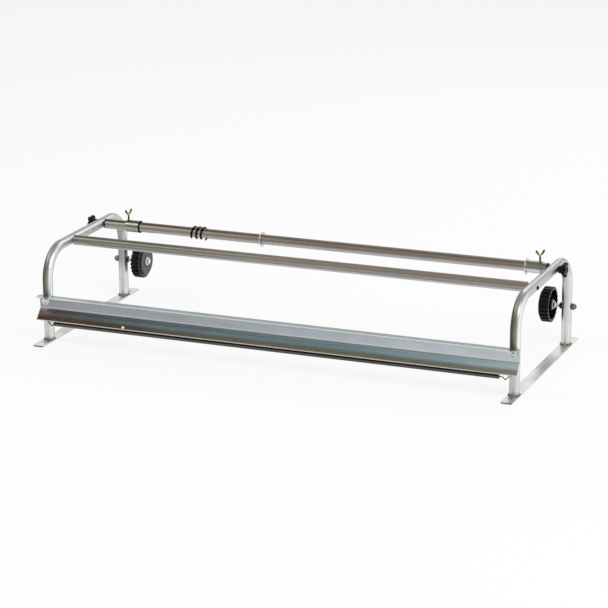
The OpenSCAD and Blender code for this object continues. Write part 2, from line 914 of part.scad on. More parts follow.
// Wire hook: out of the rod's bore, through a V, up and back into the leg's front wall
module rod_hook(side) {
    high_z = rod_h + hook_rise;
    run = [
        [side * hook_tip_x, rod_y, rod_h],
        [side * hook_bend_x, rod_y, rod_h],
        [side * hook_low_x, rod_y, rod_h - hook_drop],
        [side * hook_high_x, rod_y, high_z],
        [side * hook_high_x, -leg_y - tube_r + hook_leg_depth, high_z]
    ];
    color("black") {
        for (i = [1:len(run) - 1])
            wire_run(run[i - 1], run[i], hook_wire_d);
        for (i = [1:len(run) - 2])
            translate(run[i])
                sphere(d = hook_wire_d);
    }
}

side_frame(-1);  // left_side_frame
side_frame(1);  // right_side_frame
base_bar(-1);  // left_base_bar
base_bar(1);  // right_base_bar
foot_welds();
guide_tube();
guide_tube_plugs();
guide_tube_screws();
spindle_tube();
spindle_plugs();
knob(-1, left_knob_turn);  // left_knob
knob(1, right_knob_turn);  // right_knob
knob_stud(-1);  // left_knob_stud
knob_stud(1);  // right_knob_stud
collar(-1, left_collar_x);  // left_collar
collar(1, right_collar_x);  // right_collar
stop_ring();  // left_stop_ring
wing_screw(-1, left_collar_x, left_wing_turn);  // left_wing_screw
wing_screw(1, right_collar_x, right_wing_turn);  // right_wing_screw
roll_disc(divider_x);  // divider_disc
roll_disc(right_collar_x - collar_len / 2 - disc_t);  // right_roll_disc
drag_spring();
tape_hub(-1);  // left_tape_hub
tape_hub(1);  // right_tape_hub
hub_axle(-1);  // left_hub_axle
hub_axle(1);  // right_hub_axle
axle_dome_nuts();
axle_lock_nuts();
hub_outer_nuts();
hub_outer_washers();
hub_inner_washers();
hub_inner_nuts();
cutter_plate();
plate_screws();
plate_washers();
plate_rivet_nuts();
lip_rivet();
presser_rod();
rod_hook(-1);  // left_rod_hook
rod_hook(1);  // right_rod_hook
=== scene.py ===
"""Looks of a bench-top masking paper dispenser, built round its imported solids.

Sizes are in millimetres in the part's own frame: +X along the paper width, +Y to the
rear, +Z up, with the origin on the bench under the middle of the machine. They become
metres where a mesh is made.
"""

import logging
import math
from dataclasses import dataclass, replace
from enum import Enum
from typing import Any, Mapping, Sequence

import bpy
import numpy as np
from mathutils import Matrix, Vector


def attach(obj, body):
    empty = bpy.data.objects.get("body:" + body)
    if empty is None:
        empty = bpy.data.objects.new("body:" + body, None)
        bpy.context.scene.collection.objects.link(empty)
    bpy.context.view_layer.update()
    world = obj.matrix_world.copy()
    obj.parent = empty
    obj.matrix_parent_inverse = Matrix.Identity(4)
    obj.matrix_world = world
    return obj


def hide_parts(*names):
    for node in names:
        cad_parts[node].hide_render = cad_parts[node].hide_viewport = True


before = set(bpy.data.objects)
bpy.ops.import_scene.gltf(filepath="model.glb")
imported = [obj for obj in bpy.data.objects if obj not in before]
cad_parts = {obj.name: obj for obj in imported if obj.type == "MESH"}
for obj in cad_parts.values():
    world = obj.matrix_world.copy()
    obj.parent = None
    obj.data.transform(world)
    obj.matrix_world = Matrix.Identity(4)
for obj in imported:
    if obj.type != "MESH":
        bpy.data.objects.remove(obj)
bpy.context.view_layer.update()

MM = 0.001
# The machine's driving sizes in millimetres: a side frame's middle and a leg's, the
# height of the rails, the radius of every tube, where the guide tube and the spindle
# lie, the height of the hub axles, and the cutter plate's edges
FRAME_X = 532.5
LEG_Y = 185.0
RAIL_Z = 200.5
TUBE_R = 11.1
GUIDE_Y = -73.0
SPINDLE_Y = 79.0
HUB_Z = 89.0
PLATE_HALF = 546.0
PLATE_TOP = 106.5
PLATE_BEND = 77.0
# The inner and outer face of a side frame, and the front of the front legs
FRAME_IN = FRAME_X - TUBE_R
FRAME_OUT = FRAME_X + TUBE_R
FRONT_Y = -LEG_Y - TUBE_R

LOG = logging.getLogger("dispenser")

# Red, green and blue as a screen shows them, 0 to 255
Colour = tuple[int, int, int]
# Places along a ramp, each with its colour
Bands = tuple[tuple[float, Colour], ...]
Point = tuple[float, float, float]
# Two values between which something comes in
Span = tuple[float, float]
# A noise's patches a metre, its finer layers and their weight
Grit = tuple[float, float, float]
# Corners of a profile, or pairs of offsets from a corner
Line = tuple[tuple[float, float], ...]

# Angles in degrees past which an edge stays sharp
CREASE_PLATE = 30.0
CREASE_TURNED = 35.0
CREASE_DRUM = 40.0
CREASE_FINE = 50.0
CREASE_WIRE = 60.0
# Length of a wire's rounded end, and where its rings stand on it
WIRE_BLUNT = 0.4
WIRE_BLUNT_STEPS = (0.02, 0.12, 0.3, 0.6, 1.0)
# The middle value of a noise
MIDDLE = 0.5
# The screen's curve from light to colour: a straight toe, then a power
SCREEN_TOE = 0.04045
SCREEN_SLOPE = 12.92
SCREEN_LIFT = 0.055
SCREEN_POWER = 2.4


# Shapes


class Side(Enum):
    """The end of the machine that a piece belongs to."""

    LEFT = -1
    RIGHT = 1


@dataclass(frozen=True)
class Shell:
    """A closed skin: points in millimetres, with quads and triangles that index them."""

    points: np.ndarray
    quads: np.ndarray
    tris: np.ndarray

    def triangles(self) -> np.ndarray:
        """Returns every face as triangles, each quad cut in two."""
        return np.concatenate([self.quads[:, [0, 1, 2]], self.quads[:, [0, 2, 3]], self.tris])

    def facing_out(self) -> "Shell":
        """Turns the faces round if they point inwards.

        The enclosed volume is the sum of a . (b x c) / 6 over the triangles, and it is
        negative when the faces point inwards.

        Returns:
            The shell with every face pointing outwards.
        """
        a, b, c = (self.points[self.triangles()[:, k]] for k in range(3))
        if np.einsum("ij,ij->", a, np.cross(b, c)) >= 0:
            return self
        return replace(self, quads=self.quads[:, ::-1], tris=self.tris[:, ::-1])

    def placed(self, turn: np.ndarray, to: Point) -> "Shell":
        """Turns the shell, then moves it.

        Args:
            turn: 3 x 3 rotation.
            to: Where the shell's origin goes.

        Returns:
            The shell at its place.
        """
        return replace(self, points=self.points @ turn.T + np.asarray(to, float))

    def outward(self, side: Side, x: float, y: float, z: float) -> "Shell":
        """Points the shell's +Z out of the machine, with its origin at side * x, y, z.

        Args:
            side: End of the machine.
            x: Distance from the machine's middle.
            y: Place towards the rear.
            z: Height.

        Returns:
            The shell at its place.
        """
        s = side.value
        turn = np.array([[0, 0, s], [0, 1, 0], [-s, 0, 0]], float)
        return self.placed(turn, (s * x, y, z))

    def forward(self, x: float, y: float, z: float) -> "Shell":
        """Points the shell's +Z to the front, with its origin at x, y, z.

        Args:
            x: Place along the machine.
            y: Place towards the rear.
            z: Height.

        Returns:
            The shell at its place.
        """
        return self.placed(np.array([[1, 0, 0], [0, 0, -1], [0, 1, 0]], float), (x, y, z))

    @staticmethod
    def join(shells: Sequence["Shell"]) -> "Shell":
        """Puts several shells into one mesh, without merging them.

        Args:
            shells: The shells to hold together.

        Returns:
            One shell with all of their faces.
        """
        starts = np.cumsum([0] + [len(s.points) for s in shells[:-1]])
        return Shell(
            np.concatenate([s.points for s in shells]),
            np.concatenate([s.quads + k for s, k in zip(shells, starts)]),
            np.concatenate([s.tris + k for s, k in zip(shells, starts)]),
        )


def lattice(rows: int, columns: int, wrapped: bool) -> np.ndarray:
    """Quads of a grid whose columns always close into rings.

    Args:
        rows: Number of rings.
        columns: Points in a ring.
        wrapped: Whether the last ring joins the first.

    Returns:
        Indices of the quads, four to a row.
    """
    here = np.arange(rows if wrapped else rows - 1)[:, None] * columns
    below = (here + columns) % (rows * columns)
    i = np.arange(columns)
    beside = (i + 1) % columns
    return np.stack([here + i, here + beside, below + beside, below + i], -1).reshape(-1, 4)


def skin(rings: np.ndarray, wrapped: bool = False) -> Shell:
    """Joins rings of points into a closed shell.

    Ring i joins ring i + 1. The end rings join each other if wrapped, and otherwise each
    closes on its own middle point with a fan of triangles.

    Args:
        rings: Points, as rings x columns x 3.
        wrapped: Whether the last ring joins the first.

    Returns:
        The shell, facing outwards.
    """
    rows, columns, _ = rings.shape
    points = rings.reshape(-1, 3)
    tris = np.empty((0, 3), int)
    if not wrapped:
        poles = np.stack([rings[0].mean(axis=0), rings[-1].mean(axis=0)])
        here = np.arange(columns)
        beside = (here + 1) % columns
        last = (rows - 1) * columns
        first_fan = np.stack([beside, here, np.full(columns, rows * columns)], -1)
        last_fan = np.stack([last + here, last + beside, np.full(columns, rows * columns + 1)], -1)
        points = np.concatenate([points, poles])
        tris = np.concatenate([first_fan, last_fan])
    return Shell(points, lattice(rows, columns, wrapped), tris).facing_out()


def lathe(height: Any, radius: Any, columns: int = 64, wrapped: bool = False) -> Shell:
    """Body turned about Z: the point at ring i, angle t is (r cos t, r sin t, h).

    Args:
        height: h of each ring, or of each ring and column.
        radius: r of each ring, or of each ring and column.
        columns: Points round the axis.
        wrapped: Whether the profile is a loop that keeps off the axis.

    Returns:
        The shell.
    """
    t = turns(columns)
    h, r = (np.asarray(a, float) for a in (height, radius))
    h, r = (a[:, None] if a.ndim == 1 else a for a in (h, r))
    h, r = np.broadcast_arrays(h, r + 0 * t)
    return skin(np.stack([r * np.cos(t), r * np.sin(t), h], -1), wrapped)


def turns(columns: int) -> np.ndarray:
    """Returns the angles of the columns of a full turn."""
    return 2 * math.pi * np.arange(columns) / columns


def arc(middle: Any, radius: float, start: float, end: float, steps: int) -> np.ndarray:
    """Points middle + radius (cos a, sin a), with a from start to end in degrees.

    Args:
        middle: Centre of the arc.
        radius: Radius of the arc.
        start: First angle.
        end: Last angle.
        steps: Number of steps between them.

    Returns:
        The points, two numbers each.
    """
    a = np.radians(np.linspace(start, end, steps + 1))
    return np.asarray(middle) + radius * np.stack([np.cos(a), np.sin(a)], -1)


def eased(corners: np.ndarray, reach: float, steps: int = 8) -> np.ndarray:
    """Rounds the inner corners of a path.

    Each corner q becomes the curve (1-t)^2 p + 2t(1-t) q + t^2 r, where p and r lie one
    reach before and after the corner.

    Args:
        corners: The path's points.
        reach: How far from a corner its curve starts.
        steps: Steps of each curve.

    Returns:
        The points of the rounded path.
    """
    leg = np.diff(corners, axis=0)
    way = leg / np.linalg.norm(leg, axis=1, keepdims=True)
    q = corners[1:-1, None]
    p, r = q - reach * way[:-1, None], q + reach * way[1:, None]
    t = np.linspace(0, 1, steps + 1)[None, :, None]
    bends = (1 - t) ** 2 * p + 2 * t * (1 - t) * q + t**2 * r
    return np.concatenate([corners[:1], bends.reshape(-1, 3), corners[-1:]])


def wire(path: np.ndarray, radius: float, across: Point, sides: int, spacing: float) -> Shell:
    """Carries a circle along a path and rounds its two ends.

    The path is cut anew by its own length. Ring i is the circle of radius r(s) square to
    the path, where r(s) = radius * sqrt(1 - (1 - s / b)^2) within b of an end, with
    b = WIRE_BLUNT * radius, and radius elsewhere.

    Args:
        path: Points of the centreline.
        radius: Radius of the wire.
        across: A direction that the path never follows.
        sides: Points round the wire.
        spacing: Distance between rings.

    Returns:
        The shell.
    """
    walked = np.concatenate([[0], np.cumsum(np.linalg.norm(np.diff(path, axis=0), axis=1))])
    total, blunt = walked[-1], WIRE_BLUNT * radius
    tip = blunt * np.array(WIRE_BLUNT_STEPS)
    inner = np.linspace(blunt, total - blunt, max(2, int(total / spacing)) + 1)[1:-1]
    s = np.concatenate([tip, inner, total - tip[::-1]])
    middle = np.stack([np.interp(s, walked, path[:, k]) for k in range(3)], -1)
    way = unit(np.gradient(middle, s, axis=0))
    sideways = unit(np.cross(np.asarray(across, float), way))
    upward = np.cross(way, sideways)
    near = np.clip(np.minimum(s, total - s) / blunt, 0, 1)
    r = (radius * np.sqrt(1 - (1 - near) ** 2))[:, None, None]
    t = turns(sides)[None, :, None]
    ring = np.cos(t) * sideways[:, None] + np.sin(t) * upward[:, None]
    return skin(middle[:, None] + r * ring)


def unit(vectors: np.ndarray) -> np.ndarray:
    """Returns the vectors at length one."""
    return vectors / np.linalg.norm(vectors, axis=-1, keepdims=True)


def hexagon(across_flats: float, columns: int) -> np.ndarray:
    """Radius at each column: half the flats over the cosine of the angle to a flat."""
    fold = (turns(columns) + math.pi / 6) % (math.pi / 3) - math.pi / 6
    return across_flats / 2 / np.cos(fold)


# Fasteners


@dataclass(frozen=True)
class Washer:
    """A flat ring with eased edges, standing on z = 0."""

    outside: float
    bore: float
    thickness: float
    ease: float = 0.25

    def shell(self) -> Shell:
        """Turned loop: up the rim and down the bore, with each corner cut at 45 degrees.

        Returns:
            The washer's shell.
        """
        r, b, t, e = self.outside / 2, self.bore / 2, self.thickness, self.ease
        radii = [b, b + e, r - e, r, r, r - e, b + e, b]
        return lathe([e, 0, 0, e, t - e, t, t, t - e], radii, wrapped=True)


@dataclass(frozen=True)
class HexNut:
    """A hexagon nut with both faces chamfered, standing on z = 0."""

    across: float
    height: float
    bore: float
    corner: float = 7.25
    face: float = 0.95
    cone: float = 1.7
    depths: tuple[float, ...] = (0.0, 0.25, 0.5, 0.8, 1.2)
    sink: float = 0.5
    columns: int = 72

    def flanks(self, height: float) -> tuple[np.ndarray, np.ndarray]:
        """Rings of the six flanks.

        The radius at depth d under a face is the least of the hexagon, the corner limit
        and the chamfer's cone, face * across / 2 + cone * d.

        Args:
            height: Height of the hexagon.

        Returns:
            Heights of the rings, and the radius of each ring and column.
        """
        d = np.array(self.depths)
        flat = np.minimum(hexagon(self.across, self.columns), self.corner)
        rim = np.minimum(flat, self.face * self.across / 2 + self.cone * d[:, None])
        return np.concatenate([d, height - d[::-1]]), np.concatenate([rim, rim[::-1]])

    def shell(self) -> Shell:
        """Turned loop: up the flanks and down the bore, whose mouths are countersunk.

        Returns:
            The nut's shell.
        """
        z, r = self.flanks(self.height)
        b, sink = self.bore / 2, self.sink
        bore_z = [self.height, self.height - sink, sink, 0]
        bore_r = np.array([b + sink, b, b, b + sink])[:, None] + np.zeros(self.columns)
        return lathe(np.concatenate([z, bore_z]), np.concatenate([r, bore_r]), self.columns, True)


@dataclass(frozen=True)
class DomeNut(HexNut):
    """A cap nut: the hexagon, a neck and a dome that closes it."""

    dome: float = 12.0
    dome_height: float = 5.0
    dome_steps: int = 12
    roof: float = 0.2

    def shell(self) -> Shell:
        """Turned from the blind bore's end, out over the flanks and up over the dome.

        The dome is the cap z = H - R + sqrt(R^2 - r^2) of the ball whose radius is
        R = (d^2 / 4 + h^2) / 2h.

        Returns:
            The nut's shell.
        """
        z, r = self.flanks(self.height)
        b, top = self.bore / 2, self.height + self.dome_height
        ball = (self.dome**2 / 4 + self.dome_height**2) / (2 * self.dome_height)
        dome_r = self.dome / 2 * np.cos(np.linspace(0, math.pi / 2, self.dome_steps)[:-1])
        dome_z = top - ball + np.sqrt(ball**2 - dome_r**2)
        heights = np.concatenate([[self.height - self.roof, self.sink, 0], z, dome_z])
        bore_r = np.tile([[b], [b], [b + self.sink]], self.columns)
        radii = np.concatenate([bore_r, r, np.tile(dome_r[:, None], self.columns)])
        return lathe(heights, radii, self.columns)


@dataclass(frozen=True)
class ButtonScrew:
    """A round-headed screw with a hexagon socket: head up from z = 0, shank down."""

    shank: float
    length: float
    head: float
    head_height: float
    socket: float = 4.0
    socket_depth: float = 2.0
    socket_lip: float = 1.1
    socket_taper: float = 0.98
    socket_drop: float = 0.2
    point: float = 0.5
    rim: float = 0.15
    rim_height: float = 0.35
    dome_steps: int = 8
    columns: int = 72

    def shell(self) -> Shell:
        """Turned up the shank and over the dome, then down the hexagon socket.

        The dome is the cap of the ball whose radius is (d^2 / 4 + h^2) / 2h, cut off at
        the rim, and its rings pass from the round edge to the socket's hexagon.

        Returns:
            The screw's shell.
        """
        ball = (self.head**2 / 4 + self.head_height**2) / (2 * self.head_height)
        mouth = hexagon(self.socket, self.columns)
        share = np.cos(np.linspace(0, math.pi / 2, self.dome_steps)[1:])[:, None]
        shank, edge = self.shank / 2, self.head / 2 - self.rim
        dome = self.socket_lip * mouth + (edge - self.socket_lip * mouth) * share
        stem = np.tile([[shank - self.point], [shank], [shank], [edge], [edge]], self.columns)
        radii = np.concatenate([stem, dome, mouth[None], self.socket_taper * mouth[None]])
        crown = self.head_height - ball + np.sqrt(ball**2 - np.minimum(dome, edge) ** 2)
        foot = np.array([-self.length, self.point - self.length, 0, 0, self.rim_height])
        floor = self.head_height - self.socket_depth
        sink = np.stack([crown[-1] - self.socket_drop, 0 * mouth + floor])
        heights = [foot[:, None] + 0 * mouth, np.maximum(crown, self.rim_height), sink]
        return lathe(np.concatenate(heights), radii, self.columns)


@dataclass(frozen=True)
class ThreadedRod:
    """A rod with a screw thread and chamfered ends, up from z = 0."""

    diameter: float
    length: float
    pitch: float = 1.25
    depth: float = 0.55
    chamfer: float = 0.7
    columns: int = 28
    rings_a_turn: int = 6

    def shell(self) -> Shell:
        """Thread of V section that climbs one pitch a turn.

        With p = z / pitch - t / 2 pi, the radius is R - depth * |2 (p - floor p) - 1|, and
        within the chamfer it is no more than R - chamfer + the distance from the end.

        Returns:
            The rod's shell.
        """
        rings = round(self.length / self.pitch * self.rings_a_turn) + 1
        z = np.linspace(0, self.length, rings)[:, None]
        phase = z / self.pitch - turns(self.columns) / (2 * math.pi)
        flank = np.abs(2 * (phase - np.floor(phase)) - 1)
        limit = self.diameter / 2 - self.chamfer + np.minimum(z, self.length - z)
        radius = np.minimum(self.diameter / 2 - self.depth * flank, limit)
        return lathe(z[:, 0], radius, self.columns)


# Shader sums


class Flow:
    """A socket's value that takes part in sums, each of which adds a Math node."""

    def __init__(self, bench: "Bench", socket: bpy.types.NodeSocket) -> None:
        """Holds a socket and the bench that its nodes stand on."""
        self.bench = bench
        self.socket = socket

    def _sum(self, operation: str, first: Any, second: Any) -> "Flow":
        """Returns the Math node's result for two values."""
        node = self.bench.node("ShaderNodeMath", {"operation": operation}, {0: first, 1: second})
        return Flow(self.bench, node.outputs[0])

    def __add__(self, other: Any) -> "Flow":
        """Returns self + other."""
        return self._sum("ADD", self, other)

    def __radd__(self, other: Any) -> "Flow":
        """Returns other + self."""
        return self._sum("ADD", other, self)

    def __sub__(self, other: Any) -> "Flow":
        """Returns self - other."""
        return self._sum("SUBTRACT", self, other)

    def __rsub__(self, other: Any) -> "Flow":
        """Returns other - self."""
        return self._sum("SUBTRACT", other, self)

    def __mul__(self, other: Any) -> "Flow":
        """Returns self * other."""
        return self._sum("MULTIPLY", self, other)

    def __rmul__(self, other: Any) -> "Flow":
        """Returns other * self."""
        return self._sum("MULTIPLY", other, self)

    def __abs__(self) -> "Flow":
        """Returns the value without its sign."""
        return self._sum("ABSOLUTE", self, 0.0)

    def most(self, other: Any) -> "Flow":
        """Returns the larger of two values."""
        return self._sum("MAXIMUM", self, other)


class Bench:
    """A node tree on which a finish is laid out."""

    def __init__(self, tree: bpy.types.NodeTree) -> None:
        """Clears the tree and holds it."""
        tree.nodes.clear()
        self.tree = tree

    def node(
        self,
        kind: str,
        settings: Mapping[str, Any] | None = None,
        inputs: Mapping[Any, Any] | None = None,
    ) -> bpy.types.Node:
        """Adds one node.

        Args:
            kind: The node's type.
            settings: Its properties, which are set first. "stops" holds a ramp's places
                and colours.
            inputs: A value, or a Flow to link, for each socket's name or number.

        Returns:
            The node.
        """
        made = self.tree.nodes.new(kind)
        for key, value in (settings or {}).items():
            if key == "stops":
                self._set_stops(made.color_ramp, value)
            else:
                setattr(made, key, value)
        for key, value in (inputs or {}).items():
            if isinstance(value, Flow):
                self.tree.links.new(value.socket, made.inputs[key])
            else:
                made.inputs[key].default_value = value
        return made

    def _set_stops(self, ramp: bpy.types.ColorRamp, stops: Bands) -> None:
        """Gives a ramp its places and colours, with a new element for each inner one.

        Args:
            ramp: The ramp, which starts with two elements.
            stops: Its places and colours.
        """
        ramp.elements[0].position = stops[0][0]
        ramp.elements[1].position = stops[-1][0]
        for place, _ in stops[1:-1]:
            ramp.elements.new(place)
        for element, (_, colour) in zip(ramp.elements, stops):
            element.color = linear(colour)

    def place(self) -> Flow:
        """Returns the point's own place in the part, in metres."""
        return Flow(self, self.node("ShaderNodeTexCoord").outputs["Object"])

    def facing(self) -> Flow:
        """Returns the direction in the part that the surface faces."""
        return Flow(self, self.node("ShaderNodeTexCoord").outputs["Normal"])

    def split(self, vector: Flow) -> tuple[Flow, Flow, Flow]:
        """Returns a vector's three parts."""
        node = self.node("ShaderNodeSeparateXYZ", inputs={0: vector})
        return tuple(Flow(self, out) for out in node.outputs)

    def stretch(self, vector: Flow, scale: Point, turn: Point = (0, 0, 0)) -> Flow:
        """Returns a vector scaled along each axis, and turned by angles in radians."""
        inputs = {"Vector": vector, "Scale": scale, "Rotation": turn}
        return Flow(self, self.node("ShaderNodeMapping", inputs=inputs).outputs[0])

    def noise(self, vector: Flow, scale: float, detail: float = 3, harsh: float = 0.5) -> Flow:
        """Soft random pattern from 0 to 1, mostly near the middle.

        Args:
            vector: Where to read it.
            scale: Patches a metre.
            detail: Finer layers.
            harsh: Weight of the finer layers.

        Returns:
            The pattern's value.
        """
        inputs = {"Vector": vector, "Scale": scale, "Detail": detail, "Roughness": harsh}
        return Flow(self, self.node("ShaderNodeTexNoise", inputs=inputs).outputs[0])

    def ease(self, value: Flow, low: float, high: float) -> Flow:
        """Smooth change from 0 at low to 1 at high, where low may be the higher number.

        Args:
            value: What it follows.
            low: Where it is 0.
            high: Where it is 1.

        Returns:
            The change, from 0 to 1.
        """
        inputs = {"Value": value, "From Min": low, "From Max": high}
        node = self.node("ShaderNodeMapRange", {"interpolation_type": "SMOOTHSTEP"}, inputs)
        return Flow(self, node.outputs[0])

    def step(self, value: Flow, edge: float, span: Span) -> Flow:
        """Returns a smooth change from 0 to 1 over a span measured from an edge."""
        return self.ease(value, edge + span[0], edge + span[1])

    def ramp(self, value: Flow, stops: Bands) -> Flow:
        """Returns the colour that a ramp has at a value."""
        node = self.node("ShaderNodeValToRGB", {"stops": stops}, {0: value})
        return Flow(self, node.outputs[0])

    def mix(self, share: Any, first: Any, second: Any, way: str = "MIX") -> Flow:
        """Mixes two colours.

        Args:
            share: How much of the second, from 0 to 1.
            first: A colour, or a Flow of one.
            second: A colour, or a Flow of one.
            way: The blend.

        Returns:
            The mixed colour.
        """
        first, second = (c if isinstance(c, Flow) else linear(c) for c in (first, second))
        settings = {"data_type": "RGBA", "blend_type": way, "clamp_factor": True}
        node = self.node("ShaderNodeMix", settings, {0: share, 6: first, 7: second})
        return Flow(self, node.outputs[2])

    def bump(self, height: Flow, strength: float, distance: float) -> Flow:
        """Returns the normal over a height, whose full swing is a distance in metres."""
        inputs = {"Height": height, "Strength": strength, "Distance": distance}
        return Flow(self, self.node("ShaderNodeBump", inputs=inputs).outputs[0])

    def surface(self, shader: bpy.types.Node) -> None:
        """Gives a shader to the material's output."""
        self.node("ShaderNodeOutputMaterial", inputs={"Surface": Flow(self, shader.outputs[0])})


def as_share(part: Flow, middle: float = 0.5) -> Flow:
    """Returns half of a value from -1 to 1, added to a middle."""
    return 0.5 * part + middle


def linear(colour: Colour) -> tuple[float, float, float, float]:
    """Turns a colour as it is seen on a screen, 0 to 255, into light.

    Each part c, from 0 to 1, becomes c / slope up to the toe of the screen's curve, and
    ((c + lift) / (1 + lift)) ^ power above it.

    Args:
        colour: Red, green and blue.

    Returns:
        The same colour as light, with full cover.
    """
    c = np.asarray(colour, float) / 255
    curve = ((c + SCREEN_LIFT) / (1 + SCREEN_LIFT)) ** SCREEN_POWER
    light = np.where(c <= SCREEN_TOE, c / SCREEN_SLOPE, curve)
    return (*(float(v) for v in light), 1.0)


# Finishes


class Grain(Enum):
    """Way in which a metal was drawn or rolled, as lines across each axis, a metre."""

    ALONG_X = (14.0, 2600.0, 2600.0)
    ALONG_Y = (2600.0, 14.0, 2600.0)
    ALONG_Z = (2600.0, 2600.0, 14.0)
    NONE = (700.0, 700.0, 700.0)


@dataclass(frozen=True)
class Finish:
    """A surface finish that can lay itself out as a material."""

    name: str

    def material(self) -> bpy.types.Material:
        """Makes a material and lays the finish out on it.

        Returns:
            The material.
        """
        made = bpy.data.materials.new(self.name)
        made.use_nodes = True
        self.lay_out(Bench(made.node_tree))
        return made

    def lay_out(self, bench: Bench) -> None:
        """Puts the finish's nodes on a bench; each kind of finish has its own."""
        raise NotImplementedError


@dataclass(frozen=True)
class Plating(Finish):
    """Bright zinc or bare metal with clouds, drawn lines, fine scratches and dull spots.

    Each kind of mark has its noise, the span in which it comes in, its colour with the
    share that shows, and what it adds to the roughness and the relief.
    """

    colour: Colour
    cloud: Colour
    grain: Grain = Grain.NONE
    roughness: float = 0.26
    swing: float = 0.07
    clouds: Grit = (22.0, 5.0, 0.6)
    cloud_span: Span = (0.38, 0.66)
    lines: Grit = (1.0, 3.0, 0.6)
    line_span: Span = (0.35, 0.75)
    line_tone: Colour = (120, 118, 116)
    line_share: float = 0.34
    scratches: Grit = (1.0, 2.0, 0.4)
    scratch_scale: Point = (40.0, 900.0, 900.0)
    scratch_turn: Point = (0.3, 0.5, 0.7)
    scratch_span: Span = (0.66, 0.72)
    scratch_tone: Colour = (240, 240, 240)
    scratch_share: float = 0.08
    scratch_rough: float = 0.08
    scratch_depth: float = 0.8
    spots: Grit = (260.0, 3.0, 0.55)
    spot_span: Span = (0.6, 0.76)
    spot_tone: Colour = (88, 84, 80)
    spot_share: float = 0.16
    spot_rough: float = 0.10
    spot_height: float = 0.5
    depth: float = 0.3
    relief: float = 0.00006

    def tint(self, bench: Bench, place: Flow, colour: Flow) -> Flow:
        """Returns the colour after this metal's own stains; plain plating has none."""
        return colour

    def lay_out(self, bench: Bench) -> None:
        """Colour, roughness and relief all follow the same marks.

        Args:
            bench: Where the nodes stand.
        """
        place = bench.place()
        cloud = bench.noise(place, *self.clouds)
        grain = bench.noise(bench.stretch(place, self.grain.value), *self.lines)
        slanted = bench.stretch(place, self.scratch_scale, self.scratch_turn)
        scratch = bench.ease(bench.noise(slanted, *self.scratches), *self.scratch_span)
        spot = bench.ease(bench.noise(place, *self.spots), *self.spot_span)
        colour = bench.mix(bench.ease(cloud, *self.cloud_span), self.colour, self.cloud)
        colour = self.tint(bench, place, colour)
        lined = self.line_share * bench.ease(grain, *self.line_span)
        colour = bench.mix(lined, colour, self.line_tone, "MULTIPLY")
        colour = bench.mix(self.spot_share * spot, colour, self.spot_tone)
        colour = bench.mix(self.scratch_share * scratch, colour, self.scratch_tone)
        rough = self.roughness + 2 * self.swing * (cloud - MIDDLE) + self.spot_rough * spot
        height = grain + self.spot_height * spot - self.scratch_depth * scratch
        inputs = {
            "Base Color": colour,
            "Metallic": 1.0,
            "Roughness": rough + self.scratch_rough * scratch,
            "Normal": bench.bump(height, self.depth, self.relief),
        }
        bench.surface(bench.node("ShaderNodeBsdfPrincipled", inputs=inputs))


